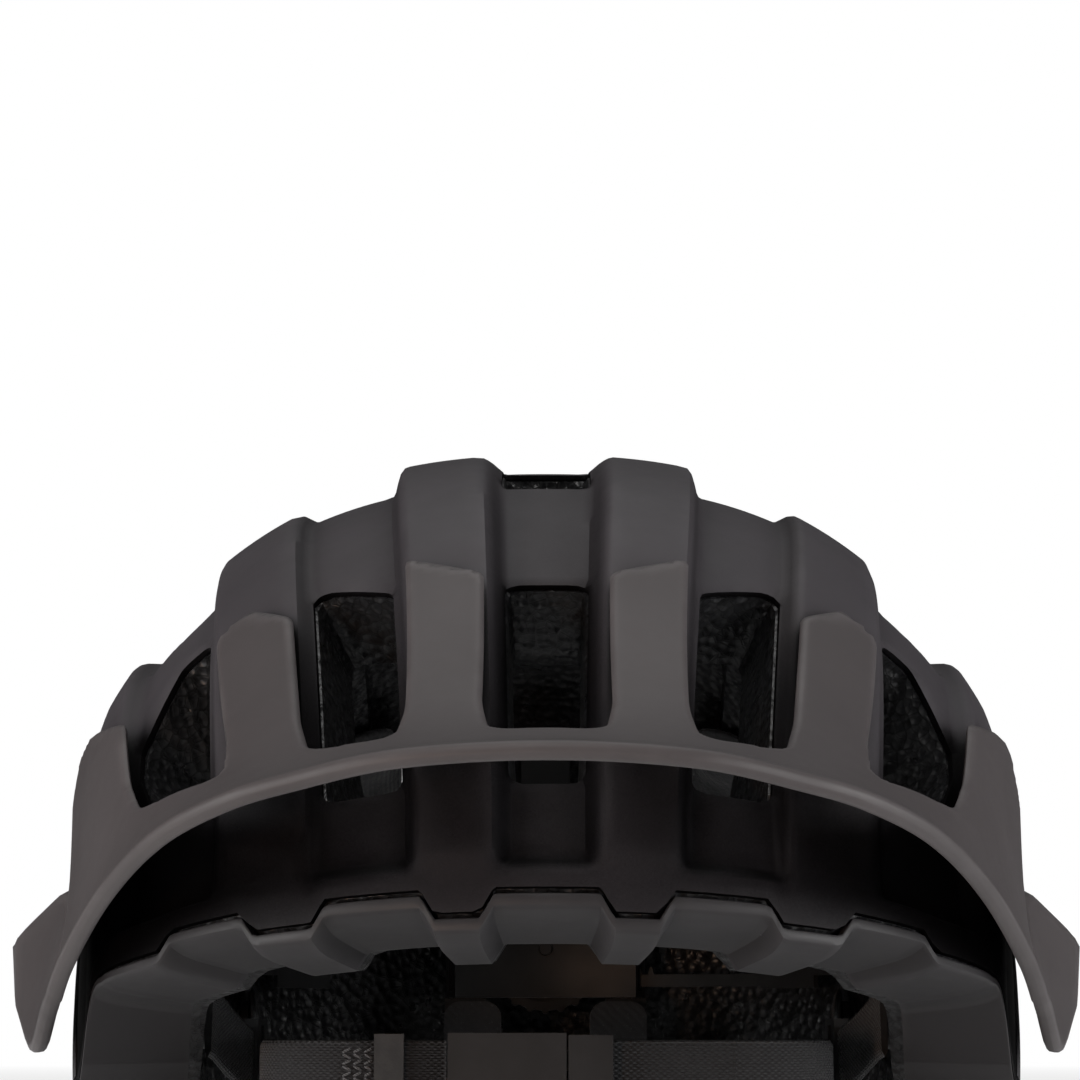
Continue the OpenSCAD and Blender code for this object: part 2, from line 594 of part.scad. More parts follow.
outer_shell();
lower_shell();
foam_liner();
pivot_socket(-1);  // pivot_socket_left
pivot_socket(1);  // pivot_socket_right
visor();
visor_stud(-1);  // visor_stud_left
visor_stud(1);  // visor_stud_right
brow_pad();
crown_pads();
side_pad(-1);  // side_pad_left
side_pad(1);  // side_pad_right
rear_pads();
hook_dots();
temple_arm(-1);  // temple_arm_left
temple_arm(1);  // temple_arm_right
temple_anchors();
headband_left();
headband_right();
slide_pin(1);  // slide_pin_left
slide_pin(-1);  // slide_pin_right
dial_housing_front();
dial_housing_rear();
dial_shaft();
dial_knob();
click_spring();
dial_screw();
cradle_hanger();
hanger_guide();
cradle_yoke();
occiput_pads();
strap_anchors();
front_strap(-1);  // front_strap_left
front_strap(1);  // front_strap_right
rear_strap(-1);  // rear_strap_left
rear_strap(1);  // rear_strap_right
divider(-1);  // divider_left
divider(1);  // divider_right
divider_lever(-1);  // divider_lever_left
divider_lever(1);  // divider_lever_right
chin_strap(-1);  // chin_strap_left
chin_strap(1);  // chin_strap_right
buckle_socket();
buckle_plug();
strap_keeper();
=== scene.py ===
import json
import math

import bmesh
import bpy
import numpy as np
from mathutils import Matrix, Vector


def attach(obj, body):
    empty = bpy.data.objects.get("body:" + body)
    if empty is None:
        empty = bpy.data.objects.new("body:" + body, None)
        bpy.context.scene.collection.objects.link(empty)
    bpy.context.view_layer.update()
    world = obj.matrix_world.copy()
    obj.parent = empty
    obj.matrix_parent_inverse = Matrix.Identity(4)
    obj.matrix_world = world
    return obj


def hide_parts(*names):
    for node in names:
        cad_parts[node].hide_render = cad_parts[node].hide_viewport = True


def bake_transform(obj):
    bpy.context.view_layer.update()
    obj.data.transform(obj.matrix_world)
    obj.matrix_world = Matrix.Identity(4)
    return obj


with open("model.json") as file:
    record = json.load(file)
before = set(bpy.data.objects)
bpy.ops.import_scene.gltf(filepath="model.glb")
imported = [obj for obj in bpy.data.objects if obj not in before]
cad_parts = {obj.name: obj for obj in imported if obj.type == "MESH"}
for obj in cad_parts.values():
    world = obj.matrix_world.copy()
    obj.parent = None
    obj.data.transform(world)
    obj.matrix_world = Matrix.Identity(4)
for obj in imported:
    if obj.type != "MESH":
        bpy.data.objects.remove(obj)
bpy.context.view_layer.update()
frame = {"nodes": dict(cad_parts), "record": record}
MM = 0.001
RAD = math.pi / 180

# ------------------------------------------------ the helmet's dome, in millimetres and degrees
# A point of the dome has a side angle u and a fan angle t. The fan angle runs from the front, 0,
# over the crown, 90, to the rear, 180.
FAN_Z = 15.0         # height of the point that all radii start from
FRONT, TOP, SIDE = 142.0, 132.0, 112.0
ARCH_POWER = 2.15    # 2 would make the centre line an ellipse
REAR_SWELL, REAR_AT, REAR_SPAN = 5, 158, 16     # the back of the head stands out here
BOX_POWER = 2.36     # exponent of the cross-section; the front and rear are rounder
HEM_TUCK, TEMPLE_TUCK = 6, 5.5                  # how far the low sides and the temples pull in
# Ribs: side angle of each column, and its depth below the dome
COL = np.array([0, 4.3, 5.8, 9.7, 13.6, 14.8, 23.3, 24.1, 28.2,
                32.5, 34.2, 44.5, 46, 50.5, 55, 57, 59, 61.1])
DEP = np.array([-6.5, -6.5, 0, 0, 0, -6, -5.5, -2.2, -2.2,
                -2.2, -7.5, -6.5, -2.2, -1.2, -1.5, -3, -2.5, -2])
T_LOW, T_HIGH, U_MAX = 12.8, 182.0, 61.1        # the nominal rows and columns end here
SIDE_U, ARCH_U, BROW_T, NAPE_BAND = 75.4, 9.8, 10.6, 4.3
RIM_DROP = 4.5       # side angle between the seam and the rim at the ears
TEETH = [(11.3, 22.5), (43.5, 57.5), (75, 91)]  # sideways spans where the front seam steps up
TOOTH_H, TOOTH_SLOPE, TOOTH_FADE = 1.85, 2.6, 2.6
SHELL_T = 1.6
FOAM_T = 30.0
BODY_Z = 2.4         # the foam ends this far above the floor


def ss(x):
    c = np.clip(x, 0, 1)
    return c * c * (3 - 2 * c)


def mix(a, b, f):
    return a + (b - a) * f


def profile(t):
    """Radius of the centre line."""
    c = np.abs(np.cos(t * RAD)) / FRONT
    s = np.abs(np.sin(t * RAD)) / TOP
    arch = (c**ARCH_POWER + s**ARCH_POWER) ** (-1 / ARCH_POWER)
    return arch + REAR_SWELL * np.exp(-(((t - REAR_AT) / REAR_SPAN) ** 2))


def power(t):
    return BOX_POWER - 0.26 * (1 - ss((t - 10) / 60)) - 0.12 * ss((t - 120) / 60)


def env(s, t):
    """Radius at an angle to the side of the centre line."""
    n = power(t)
    a = np.abs(s)
    round_part = ((np.sin(a * RAD) / SIDE) ** n + (np.cos(a * RAD) / profile(t)) ** n) ** (-1 / n)
    temple = ss((a - 42) / 18) * (1 - ss((t - 35) / 50))
    return round_part - HEM_TUCK * ss((a - 58) / 32) - TEMPLE_TUCK * temple


def spread(u, t):
    """True side angle; the ribs draw together toward the front and rear."""
    ends = 1 - ss((t - 12) / 68) + 0.6 * ss((t - 100) / 80)
    return u * (1 - 0.3 * (1 - ss(np.abs(u) / 58)) * ends)


def dome(u, t, off=0.0):
    s = spread(u, t)
    r = env(s, t) + off
    return np.stack([r * np.sin(s * RAD), -r * np.cos(s * RAD) * np.cos(t * RAD),
                     FAN_Z + r * np.cos(s * RAD) * np.sin(t * RAD)], -1)


def cavity_off(u, t):
    """The foam thins by 3 mm down the sides."""
    return -FOAM_T + 3 * ss((np.abs(spread(u, t)) - 40) / 40)


def corner_u(m):
    return SIDE_U - ARCH_U - RIM_DROP * m


def front_edge(u, m):
    return mix(BROW_T + 2.2 * m, -17 + 9 * m, ss((u - 46) / (corner_u(m) - 46)))


def rear_edge(u, m):
    return mix(186.3 - NAPE_BAND * m, 195 - 9 * m, ss((u - 20) / (corner_u(m) - 20)))


def side_edge(t, m):
    return SIDE_U - RIM_DROP * m - ARCH_U * np.minimum(1, np.abs(t - 89) / (106 - 9 * m)) ** 2.7


def tooth(a, lo, hi):
    return np.minimum(np.clip((a - lo) / TOOTH_SLOPE + 0.5, 0, 1),
                      np.clip((hi - a) / TOOTH_SLOPE + 0.5, 0, 1))


def teeth(x):
    return np.maximum.reduce([tooth(np.abs(x), lo, hi) for lo, hi in TEETH])


def surface_uv(U, T, m=1.0):
    """Side angle and fan angle of a nominal column and row; m is 1 at the seam and 0 at the rim."""
    a = np.abs(U)
    w = np.maximum(0, (a - 55) / (U_MAX - 55))
    c = corner_u(m)
    a2 = np.where(a <= 55, a, 55 + w * (c - 55))
    steps = teeth(dome(a2, 10 + 0 * a2, 0.0)[..., 0]) * (1 - ss((T - T_LOW) / TOOTH_FADE))
    t = mix(front_edge(a2, m) - TOOTH_H * steps, rear_edge(a2, m), (T - T_LOW) / (T_HIGH - T_LOW))
    return np.sign(U) * (a2 + w * (side_edge(t, m) - c)), t


def rib_depth(U, T):
    """Depth of the ribbed surface below the dome, with rounded rib edges and ramps at the brow ports."""
    a = np.abs(U)
    p = sum(k * np.interp(np.abs(a + d), COL, DEP)
            for d, k in ((-0.45, 0.2), (-0.2, 0.2), (0, 0.2), (0.2, 0.2), (0.45, 0.2)))
    p = p * mix(1, 0.5, ss((T - 50) / 30) * (1 - ss((T - 130) / 30)) * (1 - ss((a - 5) / 2)))
    step = 14.3 + 0.5 * ss((a - 30) / 20)
    f = 0.8 * ss((T - step) / 1.3) + 0.2 * ss((T - step - 1) / 6)
    nape = ss((182 - T) / 14)
    return mix(-1.0, p, f * nape)


# ------------------------------------------------ outlines as signed distances, in millimetres
X_MM, Y_MM = 1.95, 2.4      # millimetres per degree across and along the ribs


def polygon_distance(px, py, pts):
    """Negative inside the polygon."""
    d = np.full(px.shape, 1e9)
    sign = np.ones(px.shape)
    for (x0, y0), (x1, y1) in zip(pts, pts[1:] + pts[:1]):
        ex, ey = x1 - x0, y1 - y0
        wx, wy = px - x0, py - y0
        f = np.clip((wx * ex + wy * ey) / (ex * ex + ey * ey), 0, 1)
        d = np.minimum(d, np.hypot(wx - ex * f, wy - ey * f))
        cross = ex * wy - ey * wx
        flip = ((py >= y0) & (py < y1) & (cross > 0)) | ((py < y0) & (py >= y1) & (cross < 0))
        sign = np.where(flip, -sign, sign)
    return d * sign


# Vent outlines on the right half: corner radius, then corners as (column, row)
VENT = [
    (3.0, [(-4.3, 22.2), (4.3, 22.2), (4.3, 44.2), (-4.3, 44.2)]),
    (2.5, [(-4.3, 65.5), (4.3, 65.5), (4.1, 84), (-4.1, 84)]),
    (2.6, [(15.3, 22.2), (23.0, 22.2), (23.0, 47.6), (15.3, 45.0)]),
    (4.5, [(15.2, 94), (22.5, 96), (22.5, 118), (15.2, 118)]),
    (4.5, [(15.2, 136), (22.5, 136), (22.5, 154), (15.2, 152)]),
    (2.5, [(34.8, 27), (41.5, 30), (44.2, 38), (44.2, 43), (37, 53), (34.8, 53)]),
    (4.5, [(34.8, 64), (44.2, 66), (44.2, 84), (34.8, 88)]),
    (4.5, [(34.8, 106), (44.2, 108), (44.2, 124), (34.8, 126)]),
    (4.5, [(34.8, 148), (44.2, 148), (42.5, 164), (34.8, 167)]),
    (2.5, [(57.2, 64), (59, 66), (59, 79), (57.2, 82)]),
    (2.5, [(57.2, 106), (59, 108), (59, 121), (57.2, 124)]),
]


def vent_distance(U, T, grow=0.0):
    """Negative inside a vent."""
    a = np.abs(U)
    best = np.full(np.shape(a), 1e9)
    for radius, pts in VENT:
        box = [(x * X_MM, y * Y_MM) for x, y in pts]
        cx = sum(x for x, _ in box) / len(box)
        cy = sum(y for _, y in box) / len(box)
        half_x = max(x for x, _ in box) - cx
        half_y = max(y for _, y in box) - cy
        shrunk = [(cx + (x - cx) * (1 - radius / half_x), cy + (y - cy) * (1 - radius / half_y))
                  for x, y in box]
        best = np.minimum(best, polygon_distance(a * X_MM, T * Y_MM, shrunk) - radius)
    return best - grow


def stepped(lo, hi, coarse, fine, marks, reach):
    """Positions from lo to hi, closer together near the marks."""
    out = [lo]
    while out[-1] < hi:
        near = min(abs(out[-1] - k) for k in marks) < reach
        out.append(out[-1] + (fine if near else coarse))
    out = np.array(out)
    return lo + (out - lo) * (hi - lo) / (out[-1] - lo)


def snapped(A, B, sd, ax, by):
    """Moves the points beside removed cells onto the outline; returns A, B and the kept cells."""
    ca = (A[:-1, :-1] + A[1:, :-1] + A[:-1, 1:] + A[1:, 1:]) / 4
    cb = (B[:-1, :-1] + B[1:, :-1] + B[:-1, 1:] + B[1:, 1:]) / 4
    keep = sd(ca, cb) > 0
    full = np.pad(keep, 1, constant_values=True)
    gone = np.pad(~keep, 1, constant_values=False)
    near_keep = full[:-1, :-1] | full[1:, :-1] | full[:-1, 1:] | full[1:, 1:]
    near_gone = gone[:-1, :-1] | gone[1:, :-1] | gone[:-1, 1:] | gone[1:, 1:]
    edge = near_keep & near_gone
    A, B = A.copy(), B.copy()
    h = 0.02
    for _ in range(3):
        d = sd(A, B)
        gx = (sd(A + h, B) - d) / (h * ax)
        gy = (sd(A, B + h) - d) / (h * by)
        g2 = np.maximum(gx * gx + gy * gy, 0.2)
        A = np.where(edge, A - d * gx / g2 / ax, A)
        B = np.where(edge, B - d * gy / g2 / by, B)
    return A, B, keep


# ------------------------------------------------ meshes
def new_object(name, verts, faces, material, smooth_angle=38):
    mesh = bpy.data.meshes.new(name)
    mesh.from_pydata([tuple(v) for v in verts], [], faces)
    mesh.validate()
    bm = bmesh.new()
    bm.from_mesh(mesh)
    bmesh.ops.delete(bm, geom=[v for v in bm.verts if not v.link_faces], context="VERTS")
    bmesh.ops.recalc_face_normals(bm, faces=bm.faces)
    limit = smooth_angle * RAD
    for f in bm.faces:
        f.smooth = True
    for e in bm.edges:
        if len(e.link_faces) == 2:
            e.smooth = e.calc_face_angle(0) < limit
    bm.to_mesh(mesh)
    bm.free()
    obj = bpy.data.objects.new(name, mesh)
    bpy.context.scene.collection.objects.link(obj)
    obj.data.materials.append(material)
    return obj


def sheet(name, outer, inner, keep, material, layers=None, smooth_angle=38):
    """Closed solid between two point grids; layers are point grids between them, for the walls."""
    ni, nj = outer.shape[0] - 1, outer.shape[1] - 1
    w = nj + 1
    half = (ni + 1) * w
    grids = [outer] + list(layers or []) + [inner]
    last = half * (len(grids) - 1)
    verts = np.concatenate([g.reshape(-1, 3) for g in grids]) * MM
    faces = []
    alive = np.pad(keep, 1, constant_values=False)
    for i in range(ni):
        for j in range(nj):
            if not keep[i, j]:
                continue
            a = i * w + j
            b, c, d = a + 1, a + w + 1, a + w
            faces.append((a, d, c, b))
            faces.append((a + last, b + last, c + last, d + last))
            for p, q, ok in ((a, b, alive[i, j + 1]), (b, c, alive[i + 1, j + 2]),
                             (c, d, alive[i + 2, j + 1]), (d, a, alive[i + 1, j])):
                if not ok:
                    for k in range(len(grids) - 1):
                        lo, hi = k * half, (k + 1) * half
                        faces.append((p + lo, q + lo, q + hi, p + hi))
    return new_object(name, verts, faces, material, smooth_angle)


def add_bevel(obj, width, segments=2, angle=40):
    mod = obj.modifiers.new("edge_rounding", "BEVEL")
    mod.width = width * MM
    mod.segments = segments
    mod.limit_method = "ANGLE"
    mod.angle_limit = angle * RAD
    mod.harden_normals = False
    return mod


def apply_modifiers(obj):
    graph = bpy.context.evaluated_depsgraph_get()
    mesh = bpy.data.meshes.new_from_object(obj.evaluated_get(graph))
    obj.modifiers.clear()
    obj.data = mesh
    return obj


# ------------------------------------------------ materials
class Nodes:
    """Small helper for building a node material."""

    def __init__(self, name):
        self.mat = bpy.data.materials.new(name)
        self.mat.use_nodes = True
        self.tree = self.mat.node_tree
        self.bsdf = self.tree.nodes["Principled BSDF"]
        self.coord = self.tree.nodes.new("ShaderNodeTexCoord")

    def add(self, kind, **values):
        node = self.tree.nodes.new(kind)
        for key, value in values.items():
            if key in node.inputs:
                node.inputs[key].default_value = value
            else:
                setattr(node, key, value)
        return node

    def link(self, a, b):
        self.tree.links.new(a, b)

    def noise(self, scale, detail=3.0, rough=0.55, coord="Object"):
        node = self.add("ShaderNodeTexNoise", Scale=scale, Detail=detail, Roughness=rough)
        self.link(self.coord.outputs[coord], node.inputs["Vector"])
        return node.outputs["Fac"]

    def voronoi(self, scale, feature="F1", coord="Object"):
        node = self.add("ShaderNodeTexVoronoi", Scale=scale, feature=feature)
        self.link(self.coord.outputs[coord], node.inputs["Vector"])
        return node.outputs["Distance"]

    def ramp(self, fac, stops):
        node = self.add("ShaderNodeValToRGB")
        self.link(fac, node.inputs["Fac"])
        els = node.color_ramp.elements
        while len(els) < len(stops):
            els.new(0.5)
        for el, (pos, col) in zip(els, stops):
            el.position = pos
            el.color = (col, col, col, 1) if isinstance(col, float) else (*col, 1)
        return node.outputs["Color"]

    def math(self, op, a, b=0.0):
        node = self.add("ShaderNodeMath", operation=op)
        for k, v in enumerate((a, b)):
            if isinstance(v, (int, float)):
                node.inputs[k].default_value = v
            else:
                self.link(v, node.inputs[k])
        return node.outputs[0]

    def blend(self, fac, a, b):
        node = self.add("ShaderNodeMixRGB")
        for k, v in (("Fac", fac), ("Color1", a), ("Color2", b)):
            if isinstance(v, (int, float)):
                node.inputs[k].default_value = v
            elif isinstance(v, tuple):
                node.inputs[k].default_value = (*v, 1)
            else:
                self.link(v, node.inputs[k])
        return node.outputs["Color"]

    def bump(self, height, strength, distance, below=None):
        node = self.add("ShaderNodeBump", Strength=strength, Distance=distance)
        self.link(height, node.inputs["Height"])
        if below is not None:
            self.link(below, node.inputs["Normal"])
        return node.outputs["Normal"]

    def finish(self, color, rough, normal=None, **values):
        self.link(color, self.bsdf.inputs["Base Color"])
        self.link(rough, self.bsdf.inputs["Roughness"])
        if normal is not None:
            self.link(normal, self.bsdf.inputs["Normal"])
        for key, value in values.items():
            self.bsdf.inputs[key].default_value = value
        return self.mat


def moulded(name, base, rough=0.45, grain=2600.0, grain_strength=0.12, wear_highlight=0.5, spec=0.4,
             shade=0.0):
    """Matte moulded plastic: fine grain, slow colour drift, and convex edges lightened partly by wear
    polished by handling and partly as a painted highlight.

    shade is how much painted shade, found by ambient occlusion, darkens the colour and the specular in
    sheltered hollows."""
    n = Nodes(name)
    darker, lighter = tuple(0.86 * c for c in base), tuple(1.12 * c for c in base)
    drift = n.ramp(n.noise(9.0, 4.0), [(0.3, darker), (0.7, lighter)])
    geo = n.add("ShaderNodeNewGeometry")
    # Convex edges are lightened, partly as wear polished by handling and partly as a painted highlight.
    edge = n.ramp(geo.outputs["Pointiness"], [(0.5, 0.0), (0.56, 1.0)])
    scuff_highlight = n.math("MULTIPLY", edge, n.ramp(n.noise(60.0, 5.0), [(0.35, 0.15), (0.75, 1.0)]))
    worn_highlight = tuple(min(1.0, c * 1.7 + 0.02) for c in base)
    color = n.blend(n.math("MULTIPLY", scuff_highlight, wear_highlight), drift, worn_highlight)
    # Painted shade: ambient occlusion darkens the base colour and the specular in hollows and under
    # overhangs.
    if shade:
        occlusion = n.add("ShaderNodeAmbientOcclusion", Distance=0.07, samples=8)
        painted_shade = n.ramp(occlusion.outputs["AO"], [(0.56, 1.0 - shade), (0.93, 1.0)])
        dim = n.add("ShaderNodeMixRGB", blend_type="MULTIPLY", Fac=1.0)
        n.link(color, dim.inputs["Color1"])
        n.link(painted_shade, dim.inputs["Color2"])
        color = dim.outputs["Color"]
        n.link(n.math("MULTIPLY", painted_shade, spec), n.bsdf.inputs["Specular IOR Level"])
    patches = n.ramp(n.noise(24.0, 6.0, 0.65), [(0.3, rough - 0.07), (0.7, rough + 0.08)])
    roughness = n.math("SUBTRACT", patches, n.math("MULTIPLY", scuff_highlight, 0.08))
    grain_bump = n.bump(n.noise(grain, 2.0, 0.7), grain_strength, 0.0002)
    wave = n.bump(n.noise(14.0, 2.0), 0.06, 0.002, grain_bump)
    n.link(color, n.bsdf.inputs["Base Color"])
    n.link(roughness, n.bsdf.inputs["Roughness"])
    n.link(wave, n.bsdf.inputs["Normal"])
    n.bsdf.inputs["Specular IOR Level"].default_value = spec
    return n.mat


def foam_material():
    """Expanded foam: fused beads about 3 mm wide, with a skin that catches the light."""
    n = Nodes("foam_beads")
    cells = n.voronoi(450.0)
    seams = n.ramp(n.voronoi(450.0, "DISTANCE_TO_EDGE"), [(0.0, 0.0), (0.09, 1.0)])
    color = n.blend(n.noise(40.0, 3.0), (0.008, 0.008, 0.009), (0.019, 0.019, 0.020))
    dark = n.blend(n.math("SUBTRACT", 1.0, seams), color, (0.003, 0.003, 0.003))
    rough = n.ramp(n.noise(180.0, 3.0), [(0.3, 0.26), (0.75, 0.46)])
    dents = n.bump(cells, 0.8, 0.0013)
    normal = n.bump(seams, 0.4, 0.0005, dents)
    return n.finish(dark, rough, normal, **{"Specular IOR Level": 0.5})


def knit_material():
    """Brushed knit over padding: a fine loop grid, fuzz and lint."""
    n = Nodes("brushed_knit")
    loops = n.add("ShaderNodeTexWave", Scale=260.0, Distortion=1.5, bands_direction="DIAGONAL")
    n.link(n.coord.outputs["Object"], loops.inputs["Vector"])
    fuzz = n.noise(900.0, 4.0, 0.7)
    color = n.blend(n.noise(55.0, 4.0), (0.018, 0.018, 0.019), (0.048, 0.047, 0.050))
    lint = n.ramp(n.noise(1400.0, 1.0), [(0.66, 0.0), (0.72, 1.0)])
    color = n.blend(n.math("MULTIPLY", lint, 0.25), color, (0.12, 0.12, 0.12))
    rough = n.ramp(fuzz, [(0.2, 0.82), (0.8, 0.98)])
    normal = n.bump(fuzz, 0.5, 0.0006, n.bump(loops.outputs["Fac"], 0.35, 0.0004))
    n.bsdf.inputs["Sheen Weight"].default_value = 0.35
    return n.finish(color, rough, normal)


def webbing_material():
    """Woven nylon webbing; the weave follows the strap's own length and width in millimetres."""
    n = Nodes("woven_webbing")
    split = n.add("ShaderNodeSeparateXYZ")
    n.link(n.coord.outputs["UV"], split.inputs[0])
    across = n.math("SINE", n.math("MULTIPLY", split.outputs[0], 2 * math.pi / 1.05))
    along = n.math("SINE", n.math("ADD", n.math("MULTIPLY", split.outputs[1], 2 * math.pi / 1.5),
                                  n.math("MULTIPLY", n.math("SIGN", across), math.pi / 2)))
    weft = n.math("MULTIPLY", n.math("ABSOLUTE", across), 0.6)
    weave = n.math("ADD", weft, n.math("MULTIPLY", along, 0.4))
    yarn = n.ramp(weave, [(0.0, (0.004, 0.004, 0.0045)), (0.9, (0.02, 0.02, 0.022))])
    color = n.blend(n.math("MULTIPLY", n.noise(300.0, 4.0), 0.4), yarn, (0.035, 0.035, 0.037))
    rough = n.ramp(n.noise(700.0), [(0.3, 0.55), (0.7, 0.8)])
    normal = n.bump(weave, 0.8, 0.00035, n.bump(n.noise(2500.0), 0.3, 0.0002))
    return n.finish(color, rough, normal, **{"Sheen Weight": 0.1, "Specular IOR Level": 0.3})


def metal_material():
    """Bright plain steel with turning marks."""
    n = Nodes("plain_steel")
    stretch = n.add("ShaderNodeMapping")
    stretch.inputs["Scale"].default_value = (900, 40, 900)
    n.link(n.coord.outputs["Object"], stretch.inputs["Vector"])
    lines = n.add("ShaderNodeTexNoise", Scale=3.0, Detail=4.0)
    n.link(stretch.outputs["Vector"], lines.inputs["Vector"])
    color = n.blend(n.noise(80.0), (0.42, 0.42, 0.41), (0.62, 0.62, 0.60))
    rough = n.ramp(lines.outputs["Fac"], [(0.3, 0.22), (0.7, 0.42)])
    return n.finish(color, rough, n.bump(lines.outputs["Fac"], 0.15, 0.0001), Metallic=1.0)


def thread_material():
    """Twisted polyester thread."""
    n = Nodes("sewing_thread")
    twist = n.add("ShaderNodeTexWave", Scale=900.0, Distortion=0.6, bands_direction="DIAGONAL")
    n.link(n.coord.outputs["Object"], twist.inputs["Vector"])
    color = n.blend(twist.outputs["Fac"], (0.05, 0.05, 0.052), (0.11, 0.11, 0.115))
    rough = n.ramp(n.noise(800.0), [(0.3, 0.45), (0.7, 0.65)])
    return n.finish(color, rough, n.bump(twist.outputs["Fac"], 0.6, 0.0002))


def rubber_material():
    """Soft rubber with a dusty bloom."""
    n = Nodes("soft_rubber")
    color = n.blend(n.noise(70.0, 4.0), (0.012, 0.012, 0.012), (0.028, 0.027, 0.027))
    rough = n.ramp(n.noise(400.0), [(0.3, 0.6), (0.7, 0.82)])
    return n.finish(color, rough, n.bump(n.noise(1800.0), 0.3, 0.0002))


# Painted shade in hollows: strong on the shell, where it darkens the brow under the visor, and slight on
# the lower shell.
SHELL = moulded("matte_shell", (0.033, 0.0295, 0.033), rough=0.56, spec=0.26, shade=0.94)
LOWER = moulded("matte_lower_shell", (0.0225, 0.0212, 0.0228), rough=0.52, spec=0.28, shade=0.15)
VISOR = moulded("soft_visor", (0.0445, 0.0390, 0.0398), rough=0.52, grain=3000.0, spec=0.3, wear_highlight=0.7)
NYLON = moulded("black_nylon", (0.0095, 0.0095, 0.010), rough=0.46, wear_highlight=0.4, spec=0.26)
GREY_NYLON = moulded("grey_nylon", (0.085, 0.085, 0.09), rough=0.42)
FOAM = foam_material()
KNIT = knit_material()
WEB = webbing_material()
THREAD = thread_material()
STEEL = metal_material()
RUBBER = rubber_material()
HOOK = moulded("hook_tape", (0.05, 0.05, 0.05), rough=0.8, grain=5000.0, grain_strength=0.8)

# ------------------------------------------------ shells
# Columns and rows where the shell's grid is finer
EDGE_U = [4.8, 5.4, 13.9, 14.6, 23.2, 23.8, 33.0, 33.8, 44.8, 45.6, 55.6, 57, 59]
EDGE_U = EDGE_U + [-v for v in EDGE_U]
EDGE_T = [13.5, 15, 22, 44.5, 53, 29, 64, 88, 106, 124, 142, 94, 118, 136, 154, 82, 166]


def build_outer_shell():
    cols = stepped(-U_MAX, U_MAX, 1.0, 0.42, EDGE_U, 0.9)
    rows = stepped(T_LOW, T_HIGH, 1.35, 0.62, EDGE_T, 1.6)
    U, T = np.meshgrid(cols, rows, indexing="ij")
    U, T, keep = snapped(U, T, vent_distance, X_MM, Y_MM)
    u, t = surface_uv(U, T)
    depth = rib_depth(U, T)
    lip = np.clip(1 - vent_distance(U, T) / 1.6, 0, 1) ** 2 * 0.45   # vent edges roll inward
    outer = dome(u, t, depth - lip)
    inner = dome(u, t, depth - SHELL_T)
    obj = sheet("outer_shell_skin", outer, inner, keep, SHELL)
    add_bevel(obj, 0.35, 1, 55)
    apply_modifiers(obj)
    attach(obj, "helmet")
    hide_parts("outer_shell")


FOAM_RING = 0.2      # the foam goes on from the seam to here, down inside the lower shell
CHANNEL = (13.0, 122, 11)                       # half width and start of the cradle's channel, its depth
AIR = [(0, 4.0), (19, 3.6), (39.5, 4.2)]        # air grooves: centre column and half width
AIR_DEPTH = 5.0


def build_liner():
    cols = stepped(-U_MAX, U_MAX, 1.5, 0.6, EDGE_U, 0.9)
    rows = stepped(T_LOW, T_HIGH, 1.9, 0.9, EDGE_T, 1.6)
    U, T = np.meshgrid(cols, rows, indexing="ij")

    def sd(a, b):
        return vent_distance(a, b, -0.3)

    U, T, keep = snapped(U, T, sd, X_MM, Y_MM)
    pad_u = np.concatenate([[U[0]], U, [U[-1]]])
    pad_t = np.concatenate([[T[0]], T, [T[-1]]])
    pad_u = np.concatenate([pad_u[:, :1], pad_u, pad_u[:, -1:]], axis=1)
    pad_t = np.concatenate([pad_t[:, :1], pad_t, pad_t[:, -1:]], axis=1)
    ring = np.ones(pad_u.shape, bool)
    ring[1:-1, 1:-1] = False
    u1, t1 = surface_uv(pad_u, pad_t)
    u0, t0 = surface_uv(pad_u, pad_t, FOAM_RING)
    u, t = np.where(ring, u0, u1), np.where(ring, t0, t1)
    off = np.where(ring, -6.8, rib_depth(pad_u, pad_t) - SHELL_T - 0.25)
    reach, start, depth = CHANNEL
    channel = depth * (1 - ss((np.abs(pad_u) - reach) / 1.6)) * ss((pad_t - start) / 6)
    air = sum(1 - ss((np.abs(np.abs(pad_u) - centre) - reach) / 1.6) for centre, reach in AIR)
    air = air * ss((pad_t - 26) / 8) * (1 - ss((pad_t - 160) / 8)) * AIR_DEPTH
    depth_in = cavity_off(u, t) + np.maximum(channel, air * ~ring)
    outer, inner = dome(u, t, off), dome(u, t, depth_in)
    outer[..., 2] = np.maximum(outer[..., 2], BODY_Z)
    inner[..., 2] = np.maximum(inner[..., 2], BODY_Z)
    full = np.ones((keep.shape[0] + 2, keep.shape[1] + 2), bool)
    full[1:-1, 1:-1] = keep
    layers = [mix(outer, inner, f) for f in (0.06, 0.35, 0.7)]
    obj = sheet("foam_liner_body", outer, inner, full, FOAM, layers)
    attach(obj, "helmet")
    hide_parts("foam_liner")


# Rim section: inset along the surface, depth below the dome
RIM = [(0.82, -1.7), (0.77, -1.25), (0.68, -1.1), (0.40, -1.25), (0.33, -1.5), (0.26, -2.2),
       (0.14, -3.9), (0.05, -5.4), (0.0, -7.2), (-0.05, -10), (-0.07, -16), (-0.08, -24),
       (-0.04, -25.6), (0.05, -26), (0.1, -24.5), (0.12, -7.2), (0.5, -4.2), (0.82, -3.2)]


